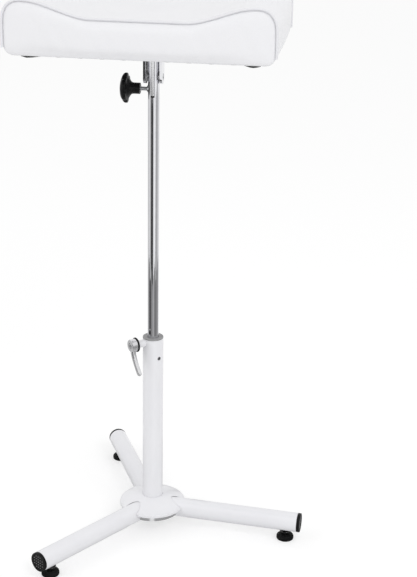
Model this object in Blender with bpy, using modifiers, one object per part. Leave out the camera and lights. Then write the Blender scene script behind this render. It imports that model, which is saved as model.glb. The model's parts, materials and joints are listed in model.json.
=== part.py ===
"""Pedicure footrest: a saddle cushion on a telescopic pole with a three-legged stand.

Metres, +Z up. X runs along the cushion's width and Y along its depth, and the origin lies on the
floor under the middle of the whole object. Every length below can be changed by itself.
"""
from __future__ import annotations

from math import asin, cos, pi, radians, sin, sqrt

import bmesh
import bpy
from mathutils import Matrix, Vector

# Fits
GAP = 0.0003
RUNNING_FIT = 0.0003
STOP_GAP = 0.0005

# Levelling feet
FOOT_RADIUS = 0.0128
FOOT_HEIGHT = 0.008
FOOT_EDGE = 0.0036
FOOT_SOCKET = 0.0047
FOOT_STUD_RADIUS = 0.004
FOOT_STUD_LENGTH = 0.022
FOOT_COLLAR_RADIUS = 0.0072
FOOT_COLLAR_HEIGHT = 0.0046
FOOT_NUT_RADIUS = 0.006
FOOT_NUT_FLANGE = 0.0084
FOOT_NUT_LENGTH = 0.0098
FOOT_NUT_DROP = 0.0012

# Legs
LEG_COUNT = 3
LEG_RADIUS = 0.01425
LEG_WALL = 0.0015
LEG_REACH = 0.2285
LEG_TURN = radians(-5.0)
FOOT_FROM_END = 0.0225
CAP_FLANGE = 0.0045
CAP_DISH = 0.0012
CAP_PLUG = 0.0065

# Hub
CAP_RADIUS = 0.0495
CAP_SHELL = 0.0025
CAP_CROWN = 0.0125
CAP_LIP = 0.0018
CAP_ABOVE_LEG_AXIS = 0.0073
CAP_OVERHANG = 0.007
CORE_WALL = 0.0044
CORE_RIM = 0.004
CORE_FLOOR = 0.004
CORE_DROP = 0.0022
WING_HEIGHT = 0.0096
BASE_BOLT_RADIUS = 0.004
BASE_BOLT_LENGTH = 0.018
BASE_HEAD_RADIUS = 0.0075
BASE_HEAD_HEIGHT = 0.0053
WASHER_RADIUS = 0.012
WASHER_THICKNESS = 0.0016

# Column and top bush
STAND_HEIGHT = 0.3065
COLUMN_RADIUS = 0.015
COLUMN_WALL = 0.0015
COLUMN_PLUG_LENGTH = 0.014
BUSH_FLANGE = 0.0016
BUSH_EDGE = 0.0006
BUSH_LENGTH = 0.036
BUSH_SCREW_RADIUS = 0.0025
BUSH_SCREW_RISE = 0.0073
BUSH_SCREW_TURN = radians(-43.0)
BUSH_SCREW_BITE = 0.0022
BUSH_SCREW_KEY = 0.0014

# Height clamp
CLAMP_TURN = radians(220.0)
CLAMP_STUD_RADIUS = 0.003
CLAMP_PAD_RADIUS = 0.0024
CLAMP_PAD_LENGTH = 0.0032
CLAMP_BOSS_RADIUS = 0.0054
CLAMP_BOSS_LENGTH = 0.012
LEVER_RING_RADIUS = 0.0100
LEVER_RING_LENGTH = 0.002
LEVER_HUB_RADIUS = 0.0094
LEVER_HUB_LENGTH = 0.0085
LEVER_HUB_EDGE = 0.0016
LEVER_SCREW_RADIUS = 0.004
LEVER_SCREW_SHANK = 0.002
LEVER_SCREW_HEAD = 0.0022
LEVER_SCREW_KEY = 0.0021
LEVER_ARM_LENGTH = 0.0455
LEVER_ARM_ROOT = 0.0092
LEVER_ARM_TIP = 0.0078
LEVER_ARM_THICKNESS = 0.0064
LEVER_ARM_EDGE = 0.0009
LEVER_TIP_ROUND = 0.002
LEVER_ARM_SWING = radians(31.0)

# Pole and its lower glide
POLE_RADIUS = 0.008
POLE_WALL = 0.0015
POLE_REACH = 0.381
POLE_HEAD = 0.0245
GLIDE_LENGTH = 0.016
CLIP_THICKNESS = 0.0012
CLIP_WIDTH = 0.0028
CLIP_GROOVE = 0.0006
CLIP_MOUTH = 0.006
POLE_PLUG_FLANGE = 0.0025
POLE_PLUG_LIP = 0.002
POLE_PLUG_LENGTH = 0.012

# Tilt joint
PIVOT_RADIUS = 0.004
EAR_THICKNESS = 0.0035
EAR_DEPTH = 0.020
EAR_BEND = 0.0055
TONGUE_THICKNESS = 0.0046
TONGUE_DEPTH = 0.020
TONGUE_REACH = 0.027
SLOT_SPARE = 0.0008
SPACER_RADIUS = 0.007
SPACER_LENGTH = 0.0009
HEAD_CLEARANCE = 0.0098
PLATE_WIDTH = 0.090
PLATE_DEPTH = 0.060
PLATE_THICKNESS = 0.003
PLATE_CORNER = 0.008
WOOD_SCREW_INSET = 0.010
WOOD_SCREW_RADIUS = 0.0022
WOOD_SCREW_SHARE = 0.7
WOOD_SCREW_POINT = 0.0027
WOOD_SCREW_HEAD_RADIUS = 0.0042
WOOD_SCREW_HEAD_HEIGHT = 0.0024

# Tilt lock knob
KNOB_DROP = 0.0175
KNOB_STUD_RADIUS = 0.003
KNOB_STANDOFF = 0.0125
KNOB_BOSS_RADIUS = 0.0076
KNOB_BOSS_LENGTH = 0.0146
KNOB_RADIUS = 0.0205
KNOB_LOBES = 6
KNOB_LOBE_DEPTH = 0.0034
KNOB_THICKNESS = 0.0065
KNOB_DOME_RADIUS = 0.0165
KNOB_DOME_HEIGHT = 0.0042
KNOB_CONE_RADIUS = 0.0135
KNOB_CONE_LENGTH = 0.005
KNOB_ROUNDING = 0.002
KNOB_STUD_GRIP = 0.016
KNOB_TIP_RADIUS = 0.0023
KNOB_TIP_LENGTH = 0.002
INSERT_WALL = 0.0014
INSERT_PROUD = 0.0006

# Cushion
CUSHION_WIDTH = 0.350
CUSHION_DEPTH = 0.235
LOBE_HEIGHT = 0.0715
TROUGH_HEIGHT = 0.051
TROUGH_HALF_WIDTH = 0.060
SHOULDER_WIDTH = 0.027
SHOULDER_DROP = 0.032
SHOULDER_POWER = 2.5
BOTTOM_CORNER = 0.014
CROWN = 0.004
FACE_BULGE = 0.004
DRAW_IN_HEIGHT = 0.025
EDGE_RADIUS = 0.006
WELT_RADIUS = 0.0016
WELT_END_HEIGHT = 0.012
BOARD_THICKNESS = 0.012
BOARD_MARGIN = 0.012
BOARD_CORNER = 0.018
DUST_COVER_THICKNESS = 0.0008
DUST_COVER_MARGIN = 0.008

# Facets
FINE_STEPS = 28
ROUND_STEPS = 20
SMALL_STEPS = 12
DOME_STEPS = 4
LOBE_STEPS = 8
HEX_SIDES = 6
STRIP_STATIONS = 9
EDGE_STATIONS = 3
FACE_INSETS = (0.10, 0.32, 0.65)

# Heights that follow from the sizes above
LEG_AXIS_Z = FOOT_HEIGHT + GAP + FOOT_COLLAR_HEIGHT + GAP + FOOT_NUT_DROP + LEG_RADIUS
FOOT_RADIAL = LEG_REACH - FOOT_FROM_END
LEG_ROOT = COLUMN_RADIUS + GAP + CORE_WALL + GAP
CORE_RADIUS = LEG_ROOT + CORE_RIM
WING_RADIUS = CAP_RADIUS - CAP_OVERHANG
CAP_EDGE_Z = LEG_AXIS_Z + CAP_ABOVE_LEG_AXIS
CORE_BOTTOM_Z = LEG_AXIS_Z - LEG_RADIUS - CORE_DROP
COLUMN_BOTTOM_Z = CORE_BOTTOM_Z + CORE_FLOOR + GAP
COLUMN_TOP_Z = STAND_HEIGHT - BUSH_FLANGE - GAP
BUSH_BOTTOM_Z = COLUMN_TOP_Z - BUSH_LENGTH
BUSH_SCREW_Z = BUSH_BOTTOM_Z + BUSH_SCREW_RISE
CLAMP_Z = COLUMN_TOP_Z - GAP - CLAMP_BOSS_RADIUS
GLIDE_BOTTOM_Z = BUSH_BOTTOM_Z - STOP_GAP - CLIP_THICKNESS - GAP - GLIDE_LENGTH
PIVOT_Z = STAND_HEIGHT + POLE_REACH
KNOB_Z = PIVOT_Z - KNOB_DROP
WEB_Z = PIVOT_Z + POLE_HEAD + HEAD_CLEARANCE
PLATE_Z = WEB_Z + EAR_THICKNESS + GAP
DUST_COVER_Z = PLATE_Z + PLATE_THICKNESS + GAP
SEAT_Z = DUST_COVER_Z + DUST_COVER_THICKNESS + GAP
BUSH_RADIUS = COLUMN_RADIUS - COLUMN_WALL - GAP
EAR_SPACE = 2.0 * (POLE_RADIUS + SPACER_LENGTH + 2.0 * GAP)
PIN_HOLE = PIVOT_RADIUS + GAP

Outline = list[tuple[float, float]]


def leg_azimuth(index: int) -> float:
    """Returns a leg's direction about the column, in radians."""
    return LEG_TURN + 2.0 * pi * index / LEG_COUNT


def axis_place() -> Vector:
    """Returns where the column stands, so that the whole object is centred on the origin."""
    half_width = CUSHION_WIDTH / 2.0 + CROWN
    half_depth = CUSHION_DEPTH / 2.0 + FACE_BULGE
    xs = [half_width, -half_width]
    ys = [half_depth, -half_depth]
    for index in range(LEG_COUNT):
        turn = leg_azimuth(index)
        for side in (-LEG_RADIUS, LEG_RADIUS):
            xs.append(LEG_REACH * cos(turn) - side * sin(turn))
            ys.append(LEG_REACH * sin(turn) + side * cos(turn))
    return Vector((-(max(xs) + min(xs)) / 2.0, -(max(ys) + min(ys)) / 2.0, 0.0))


AXIS = axis_place()


# Scene set-up and shared modelling steps


def clear_scene() -> None:
    """Removes every object that the open file holds."""
    for item in list(bpy.data.objects):
        bpy.data.objects.remove(item, do_unlink=True)


def collection(name: str) -> bpy.types.Collection:
    """Makes a collection in the scene."""
    made = bpy.data.collections.new(name)
    bpy.context.scene.collection.children.link(made)
    return made


clear_scene()
PARTS = collection("pedicure_footrest")
CUTTERS = collection("cutters")


def material(name: str, colour: tuple[float, float, float], roughness: float,
             metallic: float = 0.0) -> bpy.types.Material:
    """Makes a Principled material."""
    made = bpy.data.materials.new(name)
    made.use_nodes = True
    shader = made.node_tree.nodes["Principled BSDF"]
    shader.inputs["Base Color"].default_value = (*colour, 1.0)
    shader.inputs["Roughness"].default_value = roughness
    shader.inputs["Metallic"].default_value = metallic
    return made


WHITE_PAINT = material("white_paint", (0.83, 0.83, 0.85), 0.35)
CHROME = material("chrome", (0.80, 0.80, 0.82), 0.08, 1.0)
ZINC = material("zinc", (0.55, 0.55, 0.56), 0.35, 1.0)
BLACK_PLASTIC = material("black_plastic", (0.015, 0.015, 0.016), 0.45)
BLACK_RUBBER = material("black_rubber", (0.02, 0.02, 0.02), 0.7)
BLACK_STEEL = material("black_steel", (0.03, 0.03, 0.032), 0.4, 1.0)
GREY_NYLON = material("grey_nylon", (0.36, 0.36, 0.37), 0.5)
LEVER_METAL = material("lever_metal", (0.62, 0.62, 0.63), 0.3, 1.0)
BRASS = material("brass", (0.60, 0.45, 0.20), 0.35, 1.0)
WHITE_VINYL = material("white_vinyl", (0.86, 0.86, 0.88), 0.4)
BLACK_CLOTH = material("black_cloth", (0.02, 0.02, 0.02), 0.9)
PLYWOOD = material("plywood", (0.55, 0.40, 0.24), 0.7)


def frame(name: str, spot: Vector, along: Vector, across: Vector,
          parent: bpy.types.Object | None = None) -> bpy.types.Object:
    """Makes an empty that a group of pieces hangs on.

    Args:
        name: The empty's name.
        spot: Its origin in world coordinates.
        along: World direction of its own Z.
        across: World direction of its own X, square to along.
        parent: Another empty that carries it.
    """
    z_axis = along.normalized()
    x_axis = across.normalized()
    y_axis = z_axis.cross(x_axis)
    empty = bpy.data.objects.new(name, None)
    PARTS.objects.link(empty)
    turn = Matrix((x_axis, y_axis, z_axis)).transposed().to_4x4()
    empty.matrix_world = Matrix.Translation(spot) @ turn
    if parent is not None:
        bpy.context.view_layer.update()
        empty.parent = parent
        empty.matrix_parent_inverse = parent.matrix_world.inverted()
    bpy.context.view_layer.update()
    return empty


UP = Vector((0.0, 0.0, 1.0))
EAST = Vector((1.0, 0.0, 0.0))


def place(item: bpy.types.Object, parent: bpy.types.Object, offset: Vector | None = None,
          turn: tuple[float, float, float] = (0.0, 0.0, 0.0)) -> bpy.types.Object:
    """Hangs an object on an empty, at an offset and turn in the empty's own axes."""
    item.parent = parent
    item.location = offset if offset is not None else Vector((0.0, 0.0, 0.0))
    item.rotation_euler = turn
    return item


def add_part(name: str, mesh: bpy.types.Mesh, finish: bpy.types.Material,
             smooth: float = 40.0) -> bpy.types.Object:
    """Makes a sub-part from a mesh, shaded smooth below a crease angle in degrees."""
    item = bpy.data.objects.new(name, mesh)
    PARTS.objects.link(item)
    mesh.materials.clear()
    mesh.materials.append(finish)
    mesh.shade_smooth()
    mesh.set_sharp_from_angle(angle=radians(smooth))
    return item


def add_cutter(name: str, mesh: bpy.types.Mesh) -> bpy.types.Object:
    """Makes an object that only cuts or joins others."""
    item = bpy.data.objects.new(name, mesh)
    CUTTERS.objects.link(item)
    item.hide_render = True
    item.display_type = "WIRE"
    return item


def profile_mesh(name: str, profile: Outline, closed: bool) -> bpy.types.Mesh:
    """Makes a chain of edges in the XZ plane from (radius, height) pairs."""
    mesh = bpy.data.meshes.new(name)
    build = bmesh.new()
    verts = [build.verts.new((radius, 0.0, height)) for radius, height in profile]
    for first, second in zip(verts, verts[1:]):
        build.edges.new((first, second))
    if closed:
        build.edges.new((verts[-1], verts[0]))
    build.to_mesh(mesh)
    build.free()
    return mesh


def screw(item: bpy.types.Object, steps: int) -> None:
    """Turns a profile about its own Z axis."""
    turn = item.modifiers.new("turn", "SCREW")
    turn.axis = "Z"
    turn.angle = 2.0 * pi
    turn.steps = steps
    turn.render_steps = steps
    turn.use_merge_vertices = True
    turn.merge_threshold = 0.00001
    turn.use_smooth_shade = True


def turned(name: str, profile: Outline, finish: bpy.types.Material, steps: int = ROUND_STEPS,
           hollow: bool = False) -> bpy.types.Object:
    """Makes a turned sub-part.

    Args:
        name: The sub-part's name.
        profile: (radius, height) pairs, down the outer side and, when hollow, back up the bore.
        finish: Its material.
        steps: Facets round the axis.
        hollow: Whether the profile closes on itself round a bore.
    """
    item = add_part(name, profile_mesh(name, profile, hollow), finish)
    screw(item, steps)
    return item


def ring_profile(outer: float, inner: float, low: float, high: float) -> Outline:
    """Returns the section of a plain ring or tube."""
    return [(outer, high), (outer, low), (inner, low), (inner, high)]


def rod_profile(radius: float, low: float, high: float) -> Outline:
    """Returns the half section of a plain rod."""
    return [(0.0, high), (radius, high), (radius, low), (0.0, low)]


def rod_mesh(name: str, radius: float, low: float, high: float, sides: int) -> bpy.types.Mesh:
    """Makes a prism or cylinder along Z between two heights."""
    mesh = bpy.data.meshes.new(name)
    build = bmesh.new()
    middle = Matrix.Translation((0.0, 0.0, (low + high) / 2.0))
    bmesh.ops.create_cone(build, cap_ends=True, segments=sides, radius1=radius, radius2=radius,
                          depth=high - low, matrix=middle)
    build.to_mesh(mesh)
    build.free()
    return mesh


def rod_cutter(name: str, parent: bpy.types.Object, radius: float, low: float, high: float,
               sides: int = ROUND_STEPS, offset: Vector | None = None) -> bpy.types.Object:
    """Makes a round or many-sided cutter along its parent's Z axis."""
    return place(add_cutter(name, rod_mesh(name, radius, low, high, sides)), parent, offset)


def outline_mesh(name: str, outlines: list[Outline], thickness: float,
                 rounding: float = 0.0) -> bpy.types.Mesh:
    """Makes a flat plate from closed outlines in XY, with inner ones as holes, centred on Z = 0."""
    curve = bpy.data.curves.new(name, "CURVE")
    curve.dimensions = "2D"
    curve.fill_mode = "BOTH"
    curve.extrude = thickness / 2.0 - rounding
    curve.bevel_depth = rounding
    curve.bevel_resolution = 1
    curve.offset = -rounding
    for outline in outlines:
        spline = curve.splines.new("POLY")
        spline.points.add(len(outline) - 1)
        for point, (x, y) in zip(spline.points, outline):
            point.co = (x, y, 0.0, 1.0)
        spline.use_cyclic_u = True
    holder = bpy.data.objects.new(name, curve)
    bpy.context.scene.collection.objects.link(holder)
    bpy.context.view_layer.update()
    seen = holder.evaluated_get(bpy.context.evaluated_depsgraph_get())
    mesh = bpy.data.meshes.new_from_object(seen)
    bpy.data.objects.remove(holder, do_unlink=True)
    bpy.data.curves.remove(curve)
    build = bmesh.new()
    build.from_mesh(mesh)
    bmesh.ops.remove_doubles(build, verts=build.verts, dist=0.00001)
    bmesh.ops.recalc_face_normals(build, faces=build.faces)
    build.to_mesh(mesh)
    build.free()
    return mesh


def boolean(target: bpy.types.Object, other: bpy.types.Object, operation: str) -> None:
    """Adds a Boolean modifier with the exact solver."""
    step = target.modifiers.new(other.name, "BOOLEAN")
    step.operation = operation
    step.solver = "EXACT"
    step.object = other


def cut(target: bpy.types.Object, *others: bpy.types.Object) -> None:
    """Cuts other objects out of a target."""
    for other in others:
        boolean(target, other, "DIFFERENCE")


def join(target: bpy.types.Object, *others: bpy.types.Object) -> None:
    """Joins other objects to a target as one body."""
    for other in others:
        boolean(target, other, "UNION")


def arc(centre: tuple[float, float], radius: float, start: float, end: float,
        steps: int) -> Outline:
    """Returns points on an arc, both ends included, with angles in radians."""
    turns = [start + (end - start) * index / steps for index in range(steps + 1)]
    return [(centre[0] + radius * cos(turn), centre[1] + radius * sin(turn)) for turn in turns]


def circle(radius: float, centre: tuple[float, float] = (0.0, 0.0),
           steps: int = SMALL_STEPS) -> Outline:
    """Returns the points of a full circle."""
    return arc(centre, radius, 0.0, 2.0 * pi, steps)[:-1]


def rounded_box(width: float, depth: float, corner: float, steps: int = 4) -> Outline:
    """Returns a rectangle with round corners, centred on the origin."""
    points: Outline = []
    for index, (side_x, side_y) in enumerate(((1, 1), (-1, 1), (-1, -1), (1, -1))):
        centre = (side_x * (width / 2.0 - corner), side_y * (depth / 2.0 - corner))
        points += arc(centre, corner, index * pi / 2.0, (index + 1) * pi / 2.0, steps)
    return points


# Stand


STAND = frame("stand_frame", AXIS, UP, EAST)


def cap_height(radius: float) -> float:
    """Returns the height of the hub cap's crowned top at a distance from the column."""
    rim = CAP_RADIUS - CAP_SHELL
    return CAP_EDGE_Z + CAP_CROWN * (1.0 - min(radius / rim, 1.0) ** 2)


def leg_frame(index: int) -> bpy.types.Object:
    """Makes the empty of a leg: Z outward along the tube, X up."""
    turn = leg_azimuth(index)
    outward = Vector((cos(turn), sin(turn), 0.0))
    return frame(f"leg_{index + 1}_frame", AXIS + UP * LEG_AXIS_Z, outward, UP, STAND)


LEGS = [leg_frame(index) for index in range(LEG_COUNT)]


def leg_sockets(name: str, start: float, end: float) -> list[bpy.types.Object]:
    """Makes the round cutters that let the legs into a hub piece."""
    radius = LEG_RADIUS + GAP
    return [rod_cutter(f"{name}_{index + 1}", leg, radius, start, end, FINE_STEPS)
            for index, leg in enumerate(LEGS)]


def build_hub() -> None:
    """Makes the white crowned cap, the metal core below it and the bolt that holds the column."""
    hole = COLUMN_RADIUS + GAP
    rim = CAP_RADIUS - CAP_SHELL
    steps = [hole + (rim - hole) * index / DOME_STEPS for index in range(DOME_STEPS)]
    shoulder = CAP_EDGE_Z - CAP_SHELL
    low = shoulder - CAP_LIP
    outer = [(radius, cap_height(radius)) for radius in steps]
    outer += arc((rim, shoulder), CAP_SHELL, pi / 2.0, 0.0, 3)
    inner = [(radius, cap_height(radius) - CAP_SHELL) for radius in reversed(steps)]
    profile = outer + [(CAP_RADIUS, low), (rim, low), (rim, shoulder)] + inner
    cap = place(turned("hub_cap", profile, WHITE_PAINT, FINE_STEPS, hollow=True), STAND)
    cut(cap, *leg_sockets("cap_notch", COLUMN_RADIUS, LEG_REACH))

    top = cap_height(CORE_RADIUS) - CAP_SHELL - GAP
    wing_top = low - GAP
    bore = COLUMN_RADIUS + GAP
    floor = CORE_BOTTOM_Z + CORE_FLOOR
    bolt_hole = BASE_BOLT_RADIUS + GAP
    profile = [
        (CORE_RADIUS, top), (CORE_RADIUS, wing_top), (WING_RADIUS, wing_top),
        (WING_RADIUS, wing_top - WING_HEIGHT), (CORE_RADIUS, wing_top - WING_HEIGHT),
        (CORE_RADIUS, CORE_BOTTOM_Z), (bolt_hole, CORE_BOTTOM_Z), (bolt_hole, floor),
        (bore, floor), (bore, top),
    ]
    core = place(turned("hub_core", profile, ZINC, FINE_STEPS, hollow=True), STAND)
    cut(core, *leg_sockets("core_socket", LEG_ROOT - GAP, LEG_REACH))

    washer_top = CORE_BOTTOM_Z - GAP
    washer = ring_profile(WASHER_RADIUS, bolt_hole, washer_top - WASHER_THICKNESS, washer_top)
    place(turned("base_washer", washer, ZINC, ROUND_STEPS, hollow=True), STAND)
    seat = washer_top - WASHER_THICKNESS - GAP
    low = seat - BASE_HEAD_HEIGHT
    mesh = rod_mesh("base_bolt", BASE_HEAD_RADIUS, low, seat, HEX_SIDES)
    bolt = place(add_part("base_bolt", mesh, ZINC), STAND)
    shank_low = low + BASE_HEAD_HEIGHT / 2.0
    shank_high = seat + BASE_BOLT_LENGTH
    join(bolt, rod_cutter("base_shank", STAND, BASE_BOLT_RADIUS, shank_low, shank_high, SMALL_STEPS))


def build_leg(index: int) -> None:
    """Makes one leg tube, its end cap and the threaded insert for its foot."""
    number = index + 1
    leg = LEGS[index]
    end = LEG_REACH - CAP_FLANGE - GAP
    bore = LEG_RADIUS - LEG_WALL
    tube = turned(f"leg_{number}", ring_profile(LEG_RADIUS, bore, LEG_ROOT, end), WHITE_PAINT,
                  FINE_STEPS, hollow=True)
    place(tube, leg)
    foot = FOOTS[index]
    cut(tube, rod_cutter(f"foot_hole_{number}", foot, FOOT_NUT_RADIUS + GAP,
                         LEG_AXIS_Z - LEG_RADIUS - LEG_WALL, LEG_AXIS_Z, SMALL_STEPS))

    plug = bore - GAP
    dish = LEG_RADIUS - 2.0 * LEG_WALL
    profile = [
        (0.0, LEG_REACH - CAP_DISH), (dish - CAP_DISH, LEG_REACH - CAP_DISH), (dish, LEG_REACH),
        (LEG_RADIUS - CAP_DISH, LEG_REACH), (LEG_RADIUS, LEG_REACH - CAP_DISH),
        (LEG_RADIUS, LEG_REACH - CAP_FLANGE), (plug, LEG_REACH - CAP_FLANGE),
        (plug, LEG_REACH - CAP_FLANGE - CAP_PLUG), (0.0, LEG_REACH - CAP_FLANGE - CAP_PLUG),
    ]
    place(turned(f"leg_cap_{number}", profile, BLACK_PLASTIC, FINE_STEPS), leg)

    low = LEG_AXIS_Z - LEG_RADIUS - FOOT_NUT_DROP
    thread = FOOT_STUD_RADIUS + RUNNING_FIT
    shelf = LEG_AXIS_Z - LEG_RADIUS - GAP
    profile = [
        (FOOT_NUT_RADIUS, low + FOOT_NUT_LENGTH), (FOOT_NUT_RADIUS, shelf), (FOOT_NUT_FLANGE, shelf),
        (FOOT_NUT_FLANGE, low), (thread, low), (thread, low + FOOT_NUT_LENGTH),
    ]
    place(turned(f"foot_nut_{number}", profile, ZINC, SMALL_STEPS, hollow=True), foot)


def foot_frame(index: int) -> bpy.types.Object:
    """Makes the upright empty of a levelling foot, on the floor."""
    turn = leg_azimuth(index)
    spot = AXIS + Vector((cos(turn), sin(turn), 0.0)) * FOOT_RADIAL
    return frame(f"foot_{index + 1}_frame", spot, UP, EAST, STAND)


FOOTS = [foot_frame(index) for index in range(LEG_COUNT)]


def build_foot(index: int) -> None:
    """Makes one domed pad and the threaded stud with its collar."""
    number = index + 1
    foot = FOOTS[index]
    socket = FOOT_STUD_RADIUS + GAP
    dome = [(socket + (FOOT_RADIUS - socket) * sin(turn),
             FOOT_EDGE + (FOOT_HEIGHT - FOOT_EDGE) * cos(turn))
            for turn in (pi / 2.0 * step / DOME_STEPS for step in range(DOME_STEPS + 1))]
    seat = FOOT_HEIGHT - FOOT_SOCKET
    profile = [(0.0, seat), (socket, seat)] + dome + [(FOOT_RADIUS, 0.0), (0.0, 0.0)]
    place(turned(f"foot_pad_{number}", profile, BLACK_RUBBER, ROUND_STEPS), foot)

    low = seat + GAP
    collar = FOOT_HEIGHT + GAP
    name = f"foot_stud_{number}"
    mesh = rod_mesh(name, FOOT_COLLAR_RADIUS, collar, collar + FOOT_COLLAR_HEIGHT, HEX_SIDES)
    stud = place(add_part(name, mesh, BLACK_STEEL), foot)
    high = low + FOOT_STUD_LENGTH
    join(stud, rod_cutter(f"foot_thread_{number}", foot, FOOT_STUD_RADIUS, low, high, SMALL_STEPS))


def build_column() -> None:
    """Makes the column tube, the plug in its foot, the grey bush in its mouth and its screws."""
    bore = COLUMN_RADIUS - COLUMN_WALL
    section = ring_profile(COLUMN_RADIUS, bore, COLUMN_BOTTOM_Z, COLUMN_TOP_Z)
    column = place(turned("column", section, WHITE_PAINT, FINE_STEPS, hollow=True), STAND)
    stud_hole = rod_cutter("column_clamp_hole", CLAMP, CLAMP_STUD_RADIUS + 2.0 * GAP, 0.0,
                           2.0 * COLUMN_RADIUS, SMALL_STEPS)
    screw_hole = rod_cutter("column_screw_hole", BUSH_SCREW, BUSH_SCREW_RADIUS + GAP,
                            bore - BUSH_SCREW_BITE - GAP, 2.0 * COLUMN_RADIUS, SMALL_STEPS)
    cut(column, stud_hole, screw_hole)

    thread = BASE_BOLT_RADIUS + GAP
    high = COLUMN_BOTTOM_Z + COLUMN_PLUG_LENGTH
    section = ring_profile(bore - GAP, thread, COLUMN_BOTTOM_Z, high)
    place(turned("column_plug", section, ZINC, ROUND_STEPS, hollow=True), STAND)

    run = POLE_RADIUS + RUNNING_FIT
    profile = [
        (run + BUSH_EDGE, STAND_HEIGHT), (COLUMN_RADIUS - BUSH_EDGE, STAND_HEIGHT),
        (COLUMN_RADIUS, STAND_HEIGHT - BUSH_EDGE), (COLUMN_RADIUS, STAND_HEIGHT - BUSH_FLANGE),
        (BUSH_RADIUS, STAND_HEIGHT - BUSH_FLANGE),
        (BUSH_RADIUS, BUSH_BOTTOM_Z), (run, BUSH_BOTTOM_Z), (run, STAND_HEIGHT - BUSH_EDGE),
    ]
    bush = place(turned("top_bush", profile, GREY_NYLON, FINE_STEPS, hollow=True), STAND)
    cut(bush, stud_hole, screw_hole)

    start = bore - BUSH_SCREW_BITE
    profile = rod_profile(BUSH_SCREW_RADIUS, start, COLUMN_RADIUS)
    grub = place(turned("bush_screw", profile, BLACK_PLASTIC, SMALL_STEPS), BUSH_SCREW)
    cut(grub, rod_cutter("bush_screw_key", BUSH_SCREW, BUSH_SCREW_KEY, (start + COLUMN_RADIUS) / 2.0,
                         2.0 * COLUMN_RADIUS, HEX_SIDES))


# Height clamp


def side_frame(name: str, height: float, turn: float) -> bpy.types.Object:
    """Makes an empty on the column's axis whose Z points outward at a height and direction."""
    outward = Vector((cos(turn), sin(turn), 0.0))
    return frame(name, AXIS + UP * height, outward, UP.cross(outward), STAND)


CLAMP = side_frame("clamp_frame", CLAMP_Z, CLAMP_TURN)
BUSH_SCREW = side_frame("bush_screw_frame", BUSH_SCREW_Z, BUSH_SCREW_TURN)


def build_clamp() -> None:
    """Makes the boss on the column and the lever that presses a pad on the pole."""
    thread = CLAMP_STUD_RADIUS + RUNNING_FIT
    boss_end = COLUMN_RADIUS + CLAMP_BOSS_LENGTH
    section = ring_profile(CLAMP_BOSS_RADIUS, thread, COLUMN_RADIUS / 2.0, boss_end)
    boss = place(turned("lever_boss", section, WHITE_PAINT, SMALL_STEPS, hollow=True), CLAMP)
    cut(boss, rod_cutter("boss_saddle", STAND, COLUMN_RADIUS + GAP, COLUMN_BOTTOM_Z, STAND_HEIGHT,
                         FINE_STEPS))

    pad_low = POLE_RADIUS + GAP
    pad = rod_profile(CLAMP_PAD_RADIUS, pad_low, pad_low + CLAMP_PAD_LENGTH)
    place(turned("clamp_pad", pad, BRASS, SMALL_STEPS), CLAMP)
    ring_low = boss_end + GAP
    ring_high = ring_low + LEVER_RING_LENGTH
    section = ring_profile(LEVER_RING_RADIUS, thread, ring_low, ring_high)
    place(turned("lever_ring", section, BLACK_PLASTIC, ROUND_STEPS, hollow=True), CLAMP)

    hub_low = ring_high + GAP
    hub_high = hub_low + LEVER_HUB_LENGTH
    sink = hub_high - LEVER_SCREW_HEAD
    stud_end = hub_low + LEVER_HUB_LENGTH / 2.0
    stud_low = pad_low + CLAMP_PAD_LENGTH + GAP
    stud = rod_profile(CLAMP_STUD_RADIUS, stud_low, stud_end)
    place(turned("lever_stud", stud, ZINC, SMALL_STEPS), CLAMP)

    head = LEVER_SCREW_RADIUS + GAP
    shank = LEVER_SCREW_SHANK + GAP
    profile = [
        (head, hub_high), (LEVER_HUB_RADIUS - LEVER_HUB_EDGE, hub_high),
        (LEVER_HUB_RADIUS, hub_high - LEVER_HUB_EDGE), (LEVER_HUB_RADIUS, hub_low), (thread, hub_low),
        (thread, stud_end + GAP), (shank, stud_end + GAP), (shank, sink), (head, sink),
    ]
    lever = place(turned("lever", profile, LEVER_METAL, ROUND_STEPS, hollow=True), CLAMP)
    root = (thread + LEVER_HUB_RADIUS) / 2.0
    corner = LEVER_ARM_LENGTH - LEVER_TIP_ROUND
    side = LEVER_ARM_TIP / 2.0 - LEVER_TIP_ROUND
    outline = [(root, -LEVER_ARM_ROOT / 2.0)]
    outline += arc((corner, -side), LEVER_TIP_ROUND, -pi / 2.0, 0.0, 2)
    outline += arc((corner, side), LEVER_TIP_ROUND, 0.0, pi / 2.0, 2) + [(root, LEVER_ARM_ROOT / 2.0)]
    mesh = outline_mesh("lever_arm", [outline], LEVER_ARM_THICKNESS, LEVER_ARM_EDGE)
    middle = Vector((0.0, 0.0, (stud_end + sink) / 2.0))
    bar = place(add_cutter("lever_arm", mesh), CLAMP, middle, (0.0, 0.0, LEVER_ARM_SWING - pi / 2.0))
    join(lever, bar)
    # The arm's root may not reach into the bore that holds the stud and the screw.
    cut(lever, rod_cutter("lever_bore", CLAMP, thread, hub_low - GAP, stud_end + GAP, SMALL_STEPS))

    screw_low = stud_end + 2.0 * GAP
    profile = [(0.0, hub_high), (LEVER_SCREW_RADIUS, hub_high), (LEVER_SCREW_RADIUS, sink + GAP),
               (LEVER_SCREW_SHANK, sink + GAP), (LEVER_SCREW_SHANK, screw_low), (0.0, screw_low)]
    centre = place(turned("lever_screw", profile, ZINC, SMALL_STEPS), CLAMP)
    cut(centre, rod_cutter("lever_screw_key", CLAMP, LEVER_SCREW_KEY, (sink + hub_high) / 2.0,
                           hub_high + LEVER_SCREW_HEAD, HEX_SIDES))


# Pole


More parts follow.
